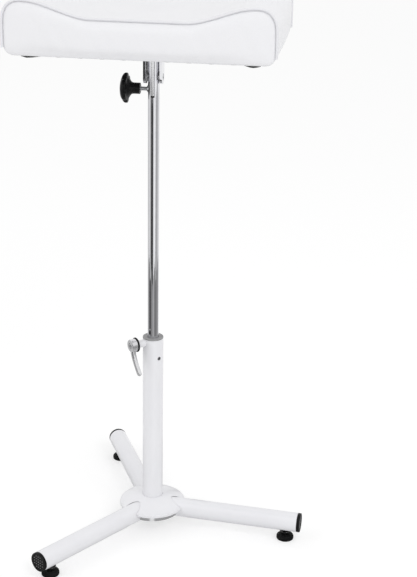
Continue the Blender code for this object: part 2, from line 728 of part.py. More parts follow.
POLE = frame("pole_frame", AXIS + UP * GLIDE_BOTTOM_Z, UP, EAST)
TILT = frame("tilt_frame", AXIS + UP * PIVOT_Z, EAST, -UP, POLE)
KNOB = frame("knob_frame", AXIS + UP * KNOB_Z, -EAST, UP, POLE)


def above_pole_end(height: float) -> float:
    """Returns a world height measured from the pole's lower end."""
    return height - GLIDE_BOTTOM_Z


def build_pole() -> None:
    """Makes the pole with its slotted head, its lower glide, clip and plug, and the knob's insert."""
    bore = POLE_RADIUS - POLE_WALL
    top = above_pole_end(PIVOT_Z + POLE_HEAD)
    groove_low = GLIDE_LENGTH + GAP
    groove_high = groove_low + CLIP_THICKNESS + 2.0 * GAP
    groove = POLE_RADIUS - CLIP_GROOVE
    profile = [
        (POLE_RADIUS, top), (POLE_RADIUS, groove_high), (groove, groove_high),
        (groove, groove_low - GAP), (POLE_RADIUS, groove_low - GAP), (POLE_RADIUS, 0.0), (bore, 0.0),
        (bore, top),
    ]
    pole = place(turned("pole", profile, CHROME, FINE_STEPS, hollow=True), POLE)
    slot_low = above_pole_end(PIVOT_Z - TONGUE_REACH - SLOT_SPARE)
    slot = add_cutter("pole_slot", bpy.data.meshes.new("pole_slot"))
    build = bmesh.new()
    width = TONGUE_THICKNESS + 2.0 * RUNNING_FIT
    height = 2.0 * (top - slot_low)
    size = Matrix.Diagonal((width, 4.0 * POLE_RADIUS, height, 1.0))
    bmesh.ops.create_cube(build, size=1.0, matrix=Matrix.Translation((0.0, 0.0, top)) @ size)
    build.to_mesh(slot.data)
    build.free()
    place(slot, POLE)
    far = 2.0 * POLE_RADIUS
    pin_hole = rod_cutter("pole_pin_hole", TILT, PIN_HOLE, -far, far, SMALL_STEPS)
    insert_radius = KNOB_STUD_RADIUS + RUNNING_FIT + INSERT_WALL
    insert_hole = rod_cutter("pole_insert_hole", KNOB, insert_radius + GAP, 0.0, far, SMALL_STEPS)
    cut(pole, slot, pin_hole, insert_hole)

    run = POLE_RADIUS + RUNNING_FIT
    section = ring_profile(BUSH_RADIUS, run, 0.0, GLIDE_LENGTH)
    place(turned("lower_glide", section, GREY_NYLON, ROUND_STEPS, hollow=True), POLE)

    seat = groove + GAP
    section = ring_profile(seat + CLIP_WIDTH, seat, groove_low, groove_low + CLIP_THICKNESS)
    clip = place(turned("glide_clip", section, ZINC, ROUND_STEPS, hollow=True), POLE)
    mesh = rod_mesh("clip_mouth", CLIP_MOUTH / sqrt(2.0), 0.0, 3.0 * CLIP_THICKNESS, 4)
    spot = Vector((POLE_RADIUS + CLIP_MOUTH / 2.0, 0.0, groove_low - CLIP_THICKNESS))
    cut(clip, place(add_cutter("clip_mouth", mesh), POLE, spot, (0.0, 0.0, pi / 4.0)))

    lip = run + POLE_PLUG_LIP
    plug = bore - GAP
    profile = [(0.0, POLE_PLUG_LENGTH), (plug, POLE_PLUG_LENGTH), (plug, -GAP), (lip, -GAP),
               (lip, -GAP - POLE_PLUG_FLANGE), (0.0, -GAP - POLE_PLUG_FLANGE)]
    place(turned("pole_plug", profile, BLACK_PLASTIC, ROUND_STEPS), POLE)

    inside = TONGUE_THICKNESS / 2.0 + RUNNING_FIT + 2.0 * GAP
    outside = POLE_RADIUS + INSERT_PROUD
    section = ring_profile(insert_radius, KNOB_STUD_RADIUS + RUNNING_FIT, inside, outside)
    place(turned("knob_insert", section, ZINC, SMALL_STEPS, hollow=True), KNOB)


# Tilt lock knob


def knob_outline() -> Outline:
    """Returns the lobed rim of the star knob."""
    steps = KNOB_LOBES * LOBE_STEPS
    points: Outline = []
    for index in range(steps):
        turn = 2.0 * pi * index / steps
        wave = (1.0 - cos(KNOB_LOBES * turn)) / 2.0
        radius = KNOB_RADIUS - KNOB_LOBE_DEPTH * wave ** 2
        points.append((radius * cos(turn), radius * sin(turn)))
    return points


def build_knob() -> None:
    """Makes the star knob, its stud and the tip that presses on the tongue."""
    tip_low = TONGUE_THICKNESS / 2.0 + GAP
    tip_high = tip_low + KNOB_TIP_LENGTH
    profile = rod_profile(KNOB_TIP_RADIUS, tip_low, tip_high)
    place(turned("knob_tip", profile, BRASS, SMALL_STEPS), KNOB)
    face = POLE_RADIUS + KNOB_STANDOFF
    stud_end = face + KNOB_STUD_GRIP
    profile = rod_profile(KNOB_STUD_RADIUS, tip_high + GAP, stud_end)
    place(turned("knob_stud", profile, ZINC, SMALL_STEPS), KNOB)

    star_low = face + KNOB_BOSS_LENGTH
    middle = star_low + KNOB_THICKNESS / 2.0
    mesh = outline_mesh("star_knob", [knob_outline()], KNOB_THICKNESS, KNOB_ROUNDING)
    star = place(add_part("star_knob", mesh, BLACK_PLASTIC), KNOB, Vector((0.0, 0.0, middle)))
    profile = [(0.0, star_low + KNOB_THICKNESS + KNOB_DOME_HEIGHT)]
    for step in range(1, DOME_STEPS + 1):
        turn = pi / 2.0 * step / DOME_STEPS
        rise = (KNOB_THICKNESS / 2.0 + KNOB_DOME_HEIGHT) * cos(turn)
        profile.append((KNOB_DOME_RADIUS * sin(turn), middle + rise))
    profile += [(KNOB_CONE_RADIUS, star_low), (KNOB_BOSS_RADIUS, star_low - KNOB_CONE_LENGTH),
                (KNOB_BOSS_RADIUS, face), (0.0, face)]
    boss = add_cutter("knob_boss", profile_mesh("knob_boss", profile, False))
    screw(boss, ROUND_STEPS)
    place(boss, KNOB)
    join(star, boss)
    bore = KNOB_STUD_RADIUS + GAP
    cut(star, rod_cutter("knob_bore", KNOB, bore, face - KNOB_ROUNDING, stud_end + GAP, SMALL_STEPS))


# Rest: fork, plate and cushion


SEAT = frame("seat_frame", AXIS + UP * SEAT_Z, UP, EAST, TILT)


def below_seat(height: float) -> float:
    """Returns a world height measured from the cushion's underside."""
    return height - SEAT_Z


def build_fork() -> None:
    """Makes the bent fork with round ears, the tongue between them, the pin and its spacers."""
    half = EAR_SPACE / 2.0
    wide = half + EAR_THICKNESS
    web = WEB_Z - PIVOT_Z
    top = web + EAR_THICKNESS
    low = -EAR_DEPTH / 2.0
    bend = EAR_BEND
    inner = max(bend - EAR_THICKNESS, GAP)
    outline = [(-wide, low)] + arc((-wide + bend, top - bend), bend, pi, pi / 2.0, 5)
    outline += arc((wide - bend, top - bend), bend, pi / 2.0, 0.0, 5) + [(wide, low), (half, low)]
    outline += arc((half - inner, web - inner), inner, 0.0, pi / 2.0, 3)
    outline += arc((-half + inner, web - inner), inner, pi / 2.0, pi, 3) + [(-half, low)]
    fork = add_part("fork", outline_mesh("fork", [outline], EAR_DEPTH), CHROME)
    # The outline lies in the fork's own XY plane, so it is stood up to face along world Y.
    place(fork, TILT, None, (pi / 2.0, -pi / 2.0, 0.0))
    edge = EAR_DEPTH / 2.0
    ears = arc((0.0, 0.0), edge, pi, 2.0 * pi, SMALL_STEPS)
    ears += [(edge + GAP, 0.0), (edge + GAP, top + GAP), (-edge - GAP, top + GAP), (-edge - GAP, 0.0)]
    mesh = outline_mesh("ear_rounder", [ears], 2.0 * wide + EAR_THICKNESS)
    rounder = place(add_cutter("ear_rounder", mesh), TILT, None, (0.0, 0.0, pi / 2.0))
    boolean(fork, rounder, "INTERSECT")
    cut(fork, rod_cutter("fork_pin_hole", TILT, PIN_HOLE, -2.0 * wide, 2.0 * wide, SMALL_STEPS))

    reach = TONGUE_REACH
    side = TONGUE_DEPTH / 2.0
    swing = asin(min(side / reach, 1.0))
    blade = arc((0.0, 0.0), reach, -pi / 2.0 - swing, -pi / 2.0 + swing, 8)
    blade += [(side, web - GAP), (-side, web - GAP)]
    mesh = outline_mesh("tongue", [blade, circle(PIN_HOLE)], TONGUE_THICKNESS)
    place(add_part("tongue", mesh, ZINC), TILT, None, (0.0, 0.0, pi / 2.0))

    pin = rod_profile(PIVOT_RADIUS, -wide + GAP, wide - GAP)
    place(turned("pivot_pin", pin, ZINC, SMALL_STEPS), TILT)
    for label, sign in (("left", -1.0), ("right", 1.0)):
        ends = sorted((sign * (POLE_RADIUS + GAP), sign * (half - GAP)))
        section = ring_profile(SPACER_RADIUS, PIN_HOLE, ends[0], ends[1])
        place(turned(f"spacer_{label}", section, GREY_NYLON, SMALL_STEPS, hollow=True), TILT)


def wood_screw_places() -> list[tuple[float, float]]:
    """Returns the four screws' places on the mounting plate."""
    x = PLATE_WIDTH / 2.0 - WOOD_SCREW_INSET
    y = PLATE_DEPTH / 2.0 - WOOD_SCREW_INSET
    return [(x, y), (-x, y), (-x, -y), (x, -y)]


def drilled_plate(name: str, outline: Outline, thickness: float, low: float,
                  finish: bpy.types.Material) -> bpy.types.Object:
    """Makes a flat piece under or in the cushion, drilled for the wood screws."""
    holes = [circle(WOOD_SCREW_RADIUS + GAP, spot) for spot in wood_screw_places()]
    item = add_part(name, outline_mesh(name, [outline] + holes, thickness), finish)
    return place(item, SEAT, Vector((0.0, 0.0, below_seat(low) + thickness / 2.0)))


def build_board() -> None:
    """Makes the mounting plate, the dust cover, the plywood board and the wood screws."""
    outline = rounded_box(PLATE_WIDTH, PLATE_DEPTH, PLATE_CORNER)
    drilled_plate("mounting_plate", outline, PLATE_THICKNESS, PLATE_Z, ZINC)
    width = CUSHION_WIDTH - 2.0 * (BOTTOM_CORNER + DUST_COVER_MARGIN)
    depth = CUSHION_DEPTH - 2.0 * (EDGE_RADIUS + DUST_COVER_MARGIN)
    outline = rounded_box(width, depth, BOARD_CORNER)
    drilled_plate("dust_cover", outline, DUST_COVER_THICKNESS, DUST_COVER_Z, BLACK_CLOTH)
    drilled_plate("board", board_outline(0.0), BOARD_THICKNESS, SEAT_Z + GAP, PLYWOOD)
    head = PLATE_Z - GAP
    length = SEAT_Z + GAP + BOARD_THICKNESS * WOOD_SCREW_SHARE - head
    profile = [(0.0, length), (WOOD_SCREW_RADIUS, length - WOOD_SCREW_POINT), (WOOD_SCREW_RADIUS, 0.0)]
    for step in range(DOME_STEPS + 1):
        turn = pi / 2.0 * step / DOME_STEPS
        profile.append((WOOD_SCREW_HEAD_RADIUS * cos(turn), -WOOD_SCREW_HEAD_HEIGHT * sin(turn)))
    profile[-1] = (0.0, -WOOD_SCREW_HEAD_HEIGHT)
    for index, (x, y) in enumerate(wood_screw_places()):
        spot = Vector((x, y, below_seat(head)))
        place(turned(f"wood_screw_{index + 1}", profile, ZINC, SMALL_STEPS), SEAT, spot)


def board_outline(grow: float) -> Outline:
    """Returns the board's outline, grown by a clearance."""
    width = CUSHION_WIDTH - 2.0 * (BOTTOM_CORNER + BOARD_MARGIN - grow)
    depth = CUSHION_DEPTH - 2.0 * (EDGE_RADIUS + BOARD_MARGIN - grow)
    return rounded_box(width, depth, BOARD_CORNER + grow)


def saddle_height(x: float) -> float:
    """Returns the cushion's height between the lobes' peaks: a flat trough with a smooth rise."""
    peak = CUSHION_WIDTH / 2.0 - SHOULDER_WIDTH
    share = min(max((abs(x) - TROUGH_HALF_WIDTH) / (peak - TROUGH_HALF_WIDTH), 0.0), 1.0)
    return TROUGH_HEIGHT + (LOBE_HEIGHT - TROUGH_HEIGHT) * share * share * (3.0 - 2.0 * share)


def half_profile() -> Outline:
    """Returns the right half of the cushion's front outline, from the middle below to the top."""
    side = CUSHION_WIDTH / 2.0
    flat = side - BOTTOM_CORNER
    peak = side - SHOULDER_WIDTH
    shoulder = LOBE_HEIGHT - SHOULDER_DROP
    points = [(flat * index / 4.0, 0.0) for index in range(4)]
    points += arc((flat, BOTTOM_CORNER), BOTTOM_CORNER, -pi / 2.0, 0.0, 3)
    points.append((side, (BOTTOM_CORNER + shoulder) / 2.0))
    for index in range(7):
        turn = pi / 2.0 * index / 6.0
        across = SHOULDER_WIDTH * cos(turn) ** (2.0 / SHOULDER_POWER)
        rise = SHOULDER_DROP * sin(turn) ** (2.0 / SHOULDER_POWER)
        points.append((peak + across, shoulder + rise))
    for index in range(1, 10):
        x = peak * (1.0 - index / 9.0)
        points.append((x, saddle_height(x)))
    return points


def full_profile() -> list[Vector]:
    """Returns the closed outline seen from the front, anticlockwise, as (x, height) vectors."""
    right = half_profile()
    left = [(-x, z) for x, z in reversed(right[1:-1])]
    return [Vector(point) for point in right + left]


def profile_normals(points: list[Vector]) -> list[Vector]:
    """Returns the outward directions at the points of a closed outline."""
    normals = []
    for index, point in enumerate(points):
        before = points[index - 1]
        after = points[(index + 1) % len(points)]
        tangent = (after - before).normalized()
        normals.append(Vector((tangent.y, -tangent.x)))
    return normals


def cushion_loop(offset: float, swell: float) -> list[Vector]:
    """Returns the outline moved outward, with a swell that fades where the cover is drawn in below.

    Args:
        offset: Even move along the outward direction, negative inward.
        swell: Extra move above the drawn-in lower edge.
    """
    points = full_profile()
    moved = []
    for point, normal in zip(points, profile_normals(points)):
        grip = min(point.y / DRAW_IN_HEIGHT, 1.0)
        moved.append(point + normal * (offset + swell * grip))
    return moved


def face_bulge(point: Vector) -> float:
    """Returns how far a point of an end panel stands out: nothing at its rim, most in its middle."""
    across = min(abs(point.x) / (CUSHION_WIDTH / 2.0 - EDGE_RADIUS), 1.0)
    upward = min(abs(2.0 * point.y / saddle_height(point.x) - 1.0), 1.0)
    return FACE_BULGE * (1.0 - across ** 4) * (1.0 - upward ** 4)


def cushion_sections() -> list[tuple[list[float], list[Vector]]]:
    """Returns the cushion's sections from front to back, as (each point's depth, outline)."""
    reach = CUSHION_DEPTH / 2.0 - EDGE_RADIUS
    middle = Vector((0.0, TROUGH_HEIGHT / 2.0))
    rim = cushion_loop(-EDGE_RADIUS, 0.0)
    front = []
    for inset in reversed(FACE_INSETS):
        loop = [middle + (point - middle) * (1.0 - inset) for point in rim]
        front.append(([-CUSHION_DEPTH / 2.0 - face_bulge(point) for point in loop], loop))
    for step in range(EDGE_STATIONS):
        turn = pi / 2.0 * (1.0 - step / EDGE_STATIONS)
        loop = cushion_loop(-EDGE_RADIUS * (1.0 - cos(turn)), 0.0)
        front.append(([-reach - EDGE_RADIUS * sin(turn)] * len(loop), loop))
    strip = []
    for index in range(STRIP_STATIONS):
        share = -1.0 + 2.0 * index / (STRIP_STATIONS - 1)
        loop = cushion_loop(0.0, CROWN * (1.0 - share * share))
        strip.append(([reach * share] * len(loop), loop))
    back = [([-depth for depth in depths], loop) for depths, loop in reversed(front)]
    return front + strip + back


def build_cushion() -> None:
    """Makes the cushion as a loft of its sections, with a pocket for the board below."""
    build = bmesh.new()
    rings = []
    for depths, loop in cushion_sections():
        rings.append([build.verts.new((point.x, depth, point.y)) for depth, point in zip(depths, loop)])
    for first, second in zip(rings, rings[1:]):
        for index in range(len(first)):
            after = (index + 1) % len(first)
            build.faces.new((first[index], first[after], second[after], second[index]))
    for ring in (rings[0], rings[-1]):
        centre = build.verts.new(sum((vert.co for vert in ring), Vector()) / len(ring))
        for index in range(len(ring)):
            build.faces.new((ring[index], ring[(index + 1) % len(ring)], centre))
    bmesh.ops.recalc_face_normals(build, faces=build.faces)
    mesh = bpy.data.meshes.new("cushion")
    build.to_mesh(mesh)
    build.free()
    cushion = place(add_part("cushion", mesh, WHITE_VINYL, 60.0), SEAT)
    depth = 2.0 * (BOARD_THICKNESS + 2.0 * GAP)
    pocket = add_cutter("board_pocket", outline_mesh("board_pocket", [board_outline(GAP)], depth))
    place(pocket, SEAT)
    cut(cushion, pocket)


def build_welt(name: str, sign: float) -> None:
    """Makes the cord sewn round one end of the cushion, seated on its rounded edge."""
    lift = EDGE_RADIUS + GAP + WELT_RADIUS
    reach = CUSHION_DEPTH / 2.0 - EDGE_RADIUS
    path = []
    for point, seat in zip(full_profile(), cushion_loop(-EDGE_RADIUS + lift * cos(pi / 4.0), 0.0)):
        if point.y >= WELT_END_HEIGHT:
            path.append((seat.x, sign * (reach + lift * sin(pi / 4.0)), seat.y))
    curve = bpy.data.curves.new(name, "CURVE")
    curve.dimensions = "3D"
    curve.bevel_depth = WELT_RADIUS
    curve.bevel_resolution = 1
    curve.use_fill_caps = True
    spline = curve.splines.new("POLY")
    spline.points.add(len(path) - 1)
    for vert, spot in zip(spline.points, path):
        vert.co = (*spot, 1.0)
    curve.materials.append(WHITE_VINYL)
    item = bpy.data.objects.new(name, curve)
    PARTS.objects.link(item)
    place(item, SEAT)


def main() -> None:
    """Builds every sub-part."""
    build_hub()
    for index in range(LEG_COUNT):
        build_leg(index)
        build_foot(index)
    build_column()
    build_clamp()
    build_pole()
    build_knob()
    build_fork()
    build_board()
    build_cushion()
    build_welt("front_welt", -1.0)
    build_welt("rear_welt", 1.0)


main()
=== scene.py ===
"""Looks of the pedicure footrest: finer pieces, finishes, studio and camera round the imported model.

Metres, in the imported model's own frame. Every finished piece has its place in its mesh.
"""

import json
import logging
from collections.abc import Callable, Sequence
from dataclasses import dataclass, field, replace
from enum import Enum
from math import asin, copysign, cos, exp, hypot, pi, radians, sin, tau

import bmesh
import bpy
from mathutils import Matrix, Vector
from mathutils.bvhtree import BVHTree

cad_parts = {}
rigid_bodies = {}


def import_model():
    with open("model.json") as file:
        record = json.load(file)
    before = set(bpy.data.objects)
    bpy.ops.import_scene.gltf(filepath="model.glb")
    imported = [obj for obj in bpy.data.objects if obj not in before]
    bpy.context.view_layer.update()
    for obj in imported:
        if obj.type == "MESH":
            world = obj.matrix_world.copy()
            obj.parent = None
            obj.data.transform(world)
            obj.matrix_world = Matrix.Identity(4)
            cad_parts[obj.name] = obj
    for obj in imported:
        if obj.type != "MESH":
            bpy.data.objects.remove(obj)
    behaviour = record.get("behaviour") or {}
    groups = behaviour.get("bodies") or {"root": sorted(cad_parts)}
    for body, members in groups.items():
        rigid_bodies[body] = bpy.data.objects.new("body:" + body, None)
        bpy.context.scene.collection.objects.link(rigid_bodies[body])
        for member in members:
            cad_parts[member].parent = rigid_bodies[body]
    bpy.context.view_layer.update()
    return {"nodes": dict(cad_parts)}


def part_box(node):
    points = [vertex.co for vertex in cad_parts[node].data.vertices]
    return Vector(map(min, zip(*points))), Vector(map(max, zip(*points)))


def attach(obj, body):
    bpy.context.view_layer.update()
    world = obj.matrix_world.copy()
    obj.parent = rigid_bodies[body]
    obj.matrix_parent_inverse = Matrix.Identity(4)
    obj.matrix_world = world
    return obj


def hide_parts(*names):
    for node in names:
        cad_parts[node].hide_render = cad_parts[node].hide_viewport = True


def empty_scene() -> None:
    """Removes the objects that a new file holds."""
    for item in list(bpy.data.objects):
        bpy.data.objects.remove(item, do_unlink=True)


empty_scene()
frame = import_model()
LOG = logging.getLogger("footrest")

Mesh = bpy.types.Mesh
Item = bpy.types.Object
Socket = bpy.types.NodeSocket
Tree = bpy.types.NodeTree
Colour = tuple[float, float, float]
Flat = tuple[float, float]
Corner = tuple[float, float, float]
Face = tuple[int, ...]
Shape = Callable[[float, float, float], Flat]

UP = Vector((0.0, 0.0, 1.0))
EAST = Vector((1.0, 0.0, 0.0))
QUARTER = pi / 2.0
SHARE = (0.0, 1.0)
SEED = 7
CAMERA_TURN = radians(10.0)

# Clearance between pieces that meet or run in each other
GAP = 0.0003

# Edge roundings, from a machined corner to a moulded one
CRISP = 0.0002
EASED = 0.0003
BROKEN = 0.0004
ROUNDED = 0.0005
SOFT = 0.0006


class Body(Enum):
    """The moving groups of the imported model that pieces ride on."""

    STAND = "stand"
    LEVER = "lever"
    POLE = "pole"
    KNOB = "knob"
    REST = "rest"
    FOOT_PAD = "foot_{}_pad"
    FOOT_STUD = "foot_{}_stud"


class Slot(Enum):
    """The record's material slots."""

    WHITE_PAINT = "white_paint"
    CHROME = "chrome"
    ZINC = "zinc"
    BLACK_PLASTIC = "black_plastic"
    BLACK_RUBBER = "black_rubber"
    BLACK_STEEL = "black_steel"
    GREY_NYLON = "grey_nylon"
    LEVER_METAL = "lever_metal"
    BRASS = "brass"
    PADDED_VINYL = "padded_vinyl"
    WHITE_VINYL = "white_vinyl"
    BLACK_CLOTH = "black_cloth"
    PLYWOOD = "plywood"


class Texture(Enum):
    """The surface textures that a finish can have, each a shader node group."""

    PEEL = "paint_peel"
    MOULDED = "moulded_grain"
    PEBBLE = "leather_pebble"
    DRAWN = "drawn_lines"
    WEAVE = "cloth_weave"
    PLY = "ply_grain"


class Carving(Enum):
    """What a tool does to a mesh."""

    CUT = "DIFFERENCE"
    JOIN = "UNION"
    KEEP = "INTERSECT"


def middle(node: str) -> Vector:
    """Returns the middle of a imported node's box."""
    low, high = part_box(node)
    return (low + high) / 2.0


def on_axis(height: float = 0.0) -> Vector:
    """Returns the place on the column's axis at a height."""
    spot = middle("column")
    return Vector((spot.x, spot.y, height))


def portion(value: float, low: float, high: float) -> float:
    """Returns how far a value lies from one bound to another, from 0 to 1."""
    return min(max((value - low) / (high - low), 0.0), 1.0)


def quarter(steps: int) -> list[float]:
    """Returns even steps of angle from 0 to a right angle, both ends included."""
    return [QUARTER * step / steps for step in range(steps + 1)]


# Shader and geometry node graphs


class Graph:
    """Adds and links nodes in one node tree."""

    def __init__(self, tree: Tree) -> None:
        """Starts on an empty tree."""
        self.tree = tree
        tree.nodes.clear()

    def add(self, kind: str, inputs: dict[str | int, object] | None = None,
            **settings: object) -> bpy.types.Node:
        """Adds a node.

        Args:
            kind: The node's type name.
            inputs: Values or sockets for its inputs, by name or index.
            settings: Its own properties.

        Returns:
            The new node.
        """
        node = self.tree.nodes.new(kind)
        for key, value in settings.items():
            setattr(node, key, value)
        for key, value in (inputs or {}).items():
            if isinstance(value, Socket):
                self.tree.links.new(value, node.inputs[key])
            else:
                node.inputs[key].default_value = value
        return node

    def calc(self, operation: str, first: object, second: object = 0.0) -> Socket:
        """Adds a Math node and returns its result."""
        return self.add("ShaderNodeMath", {0: first, 1: second}, operation=operation).outputs[0]

    def weigh(self, first: object, share: float, second: object) -> Socket:
        """Adds up two values, the first by its share and the second by the rest, and returns the sum."""
        rest = self.calc("MULTIPLY", second, 1.0 - share)
        return self.calc("ADD", self.calc("MULTIPLY", first, share), rest)

    def span(self, value: object, source: Flat, target: Flat = SHARE) -> Socket:
        """Maps a value smoothly from one range to another and returns the result."""
        inputs = dict(zip(("Value", "From Min", "From Max", "To Min", "To Max"), (value, *source, *target)))
        return self.add("ShaderNodeMapRange", inputs, interpolation_type="SMOOTHSTEP").outputs["Result"]

    def noise(self, vector: object, scale: object, detail: float, times: float = 1.0) -> Socket:
        """Adds a noise texture at a multiple of a scale and returns its value."""
        rate = scale if times == 1.0 else self.calc("MULTIPLY", scale, times)
        return self.add("ShaderNodeTexNoise", {"Vector": vector, "Scale": rate, "Detail": detail}).outputs[0]

    def stretched(self, vector: object, factors: Corner) -> Socket:
        """Scales a vector by a factor in each direction and returns the result."""
        return self.add("ShaderNodeVectorMath", {0: vector, 1: factors}, operation="MULTIPLY").outputs[0]

    def blend(self, factor: object, first: object, second: object) -> Socket:
        """Mixes two colours and returns the result."""
        return self.add("ShaderNodeMix", {0: factor, 6: first, 7: second}, data_type="RGBA").outputs[2]

    def chance(self, low: float, high: float, seed: object) -> Socket:
        """Adds a random value for each point and returns it."""
        inputs = {2: low, 3: high, "Seed": seed}
        return self.add("FunctionNodeRandomValue", inputs, data_type="FLOAT").outputs[1]

    def spin(self, angle: object) -> Socket:
        """Returns a rotation by an angle about the vertical."""
        bend = self.add("ShaderNodeCombineXYZ", {2: angle}).outputs[0]
        return self.add("FunctionNodeEulerToRotation", {0: bend}).outputs[0]


def blank(name: str) -> tuple[bpy.types.Material, Graph]:
    """Makes an empty material.

    Args:
        name: Its name.

    Returns:
        The material and its graph.
    """
    made = bpy.data.materials.new(name)
    made.use_nodes = True
    return made, Graph(made.node_tree)


class Effects:
    """Shader node groups that the finishes share, each built once."""

    def __init__(self) -> None:
        """Starts with no group built."""
        self.built: dict[str, Tree] = {}

    def group(self, name: str) -> Tree:
        """Finds a group, building it on first use.

        Args:
            name: The group's name.

        Returns:
            Its tree.
        """
        if name not in self.built:
            getattr(self, f"make_{name}")()
        return self.built[name]

    @staticmethod
    def start(name: str, inputs: Sequence[str],
              outputs: Sequence[str]) -> tuple[Graph, bpy.types.NodeOutputs]:
        """Makes an empty group with a vector input first.

        Args:
            name: The group's name.
            inputs: Names of its value inputs.
            outputs: Names of its value outputs.

        Returns:
            Its graph and its inputs' sockets by name.
        """
        tree = bpy.data.node_groups.new(name, "ShaderNodeTree")
        tree.interface.new_socket("Vector", in_out="INPUT", socket_type="NodeSocketVector")
        for way, labels in (("INPUT", inputs), ("OUTPUT", outputs)):
            for label in labels:
                tree.interface.new_socket(label, in_out=way, socket_type="NodeSocketFloat")
        graph = Graph(tree)
        return graph, graph.add("NodeGroupInput").outputs

    def texture(self, kind: Texture) -> tuple[Graph, Socket, Socket]:
        """Starts a texture group and returns its graph, vector and scale."""
        graph, entry = self.start(kind.value, ("Scale",), ("Height", "Tone"))
        return graph, entry["Vector"], entry["Scale"]

    def close(self, graph: Graph, *outputs: object) -> None:
        """Links a group's outputs in order and keeps the group."""
        graph.add("NodeGroupOutput", dict(enumerate(outputs)))
        self.built[graph.tree.name] = graph.tree

    def make_paint_peel(self) -> None:
        """Builds the soft orange peel of powder coat."""
        graph, vector, scale = self.texture(Texture.PEEL)
        peel = graph.noise(vector, scale, detail=1.0)
        cloud = graph.noise(vector, scale, detail=3.0, times=0.02)
        self.close(graph, peel, graph.span(cloud, (0.35, 0.75)))

    def make_moulded_grain(self) -> None:
        """Builds the fine spark-eroded grain of moulded plastic and rubber."""
        graph, vector, scale = self.texture(Texture.MOULDED)
        cells = graph.add("ShaderNodeTexVoronoi", {"Vector": vector, "Scale": scale}).outputs["Distance"]
        fine = graph.noise(vector, scale, detail=2.0, times=2.3)
        cloud = graph.noise(vector, scale, detail=3.0, times=0.05)
        self.close(graph, graph.weigh(cells, 0.6, fine), graph.span(cloud, (0.3, 0.75)))

    def make_leather_pebble(self) -> None:
        """Builds the pebbled grain of coated leather cloth, with creases between its cells, and painted shade
        in the creases as its tone.
        """
        wander = 0.0006
        graph, vector, scale = self.texture(Texture.PEBBLE)
        push = graph.add("ShaderNodeTexNoise", {"Vector": vector, "Scale": scale, "Detail": 1.0}).outputs[1]
        shift = graph.add("ShaderNodeVectorMath", {0: push, 3: wander}, operation="SCALE").outputs[0]
        moved = graph.add("ShaderNodeVectorMath", {0: vector, 1: shift}, operation="ADD").outputs[0]
        inputs = {"Vector": moved, "Scale": scale}
        cells = graph.add("ShaderNodeTexVoronoi", inputs, feature="DISTANCE_TO_EDGE").outputs["Distance"]
        crease = graph.span(cells, (0.0, 0.30))
        fine = graph.noise(vector, scale, detail=2.0, times=4.0)
        # Painted shade: the tone is 1 in the creases, which mixes the colour towards the darker shade colour
        # there
        crease_shade = graph.calc("SUBTRACT", 1.0, crease)
        self.close(graph, graph.weigh(crease, 0.8, fine), crease_shade)

    def make_drawn_lines(self) -> None:
        """Builds the long fine lines that drawing and polishing leave on metal."""
        graph, vector, scale = self.texture(Texture.DRAWN)
        lines = graph.noise(graph.stretched(vector, (1.0, 1.0, 0.03)), scale, detail=3.0)
        cloud = graph.noise(vector, scale, detail=2.0, times=0.03)
        self.close(graph, lines, graph.span(cloud, (0.3, 0.75)))

    def make_cloth_weave(self) -> None:
        """Builds a plain weave of threads over and under each other, with painted shade as its tone where the
        threads dip.
        """
        graph, vector, scale = self.texture(Texture.WEAVE)
        parts = graph.add("ShaderNodeSeparateXYZ", {0: vector}).outputs
        rate = graph.calc("MULTIPLY", scale, pi)
        warp, weft = (graph.calc("SINE", graph.calc("MULTIPLY", parts[way], rate)) for way in (0, 1))
        over = graph.calc("GREATER_THAN", graph.calc("MULTIPLY", warp, weft), 0.0)
        high = graph.calc("MULTIPLY", graph.calc("ABSOLUTE", warp), over)
        low = graph.calc("MULTIPLY", graph.calc("ABSOLUTE", weft), graph.calc("SUBTRACT", 1.0, over))
        height = graph.calc("ADD", high, low)
        # Painted shade: the tone is 1 where the threads dip low, darkening the cloth in the weave's hollows
        self.close(graph, height, graph.span(height, (0.0, 0.6), (1.0, 0.0)))

    def make_ply_grain(self) -> None:
        """Builds the flowing grain of a rotary-cut veneer."""
        graph, vector, scale = self.texture(Texture.PLY)
        long = graph.stretched(vector, (0.12, 1.0, 1.0))
        inputs = {"Vector": long, "Scale": scale, "Distortion": 6.0, "Detail": 3.0}
        rings = graph.add("ShaderNodeTexWave", inputs, bands_direction="Y").outputs[1]
        self.close(graph, graph.noise(long, scale, detail=3.0, times=12.0), rings)

    def make_handling(self) -> None:
        """Builds the uneven gloss that cleaning and hands leave: a roughness between two values."""
        graph, entry = self.start("handling", ("Scale", "Low", "High"), ("Roughness",))
        share = graph.span(graph.noise(entry["Vector"], entry["Scale"], detail=4.0), (0.3, 0.7))
        reach = graph.calc("SUBTRACT", entry["High"], entry["Low"])
        rough = graph.calc("ADD", entry["Low"], graph.calc("MULTIPLY", share, reach))
        self.close(graph, rough)

    def make_edge_wear(self) -> None:
        """Builds a broken mask along the roundings that the mesh marks as worn."""
        graph, entry = self.start("edge_wear", ("Worn", "Scale", "Amount"), ("Mask",))
        broken = graph.span(graph.noise(entry["Vector"], entry["Scale"], detail=4.0), (0.45, 0.62))
        worn = graph.calc("MULTIPLY", broken, entry["Worn"])
        self.close(graph, graph.calc("MULTIPLY", worn, entry["Amount"]))


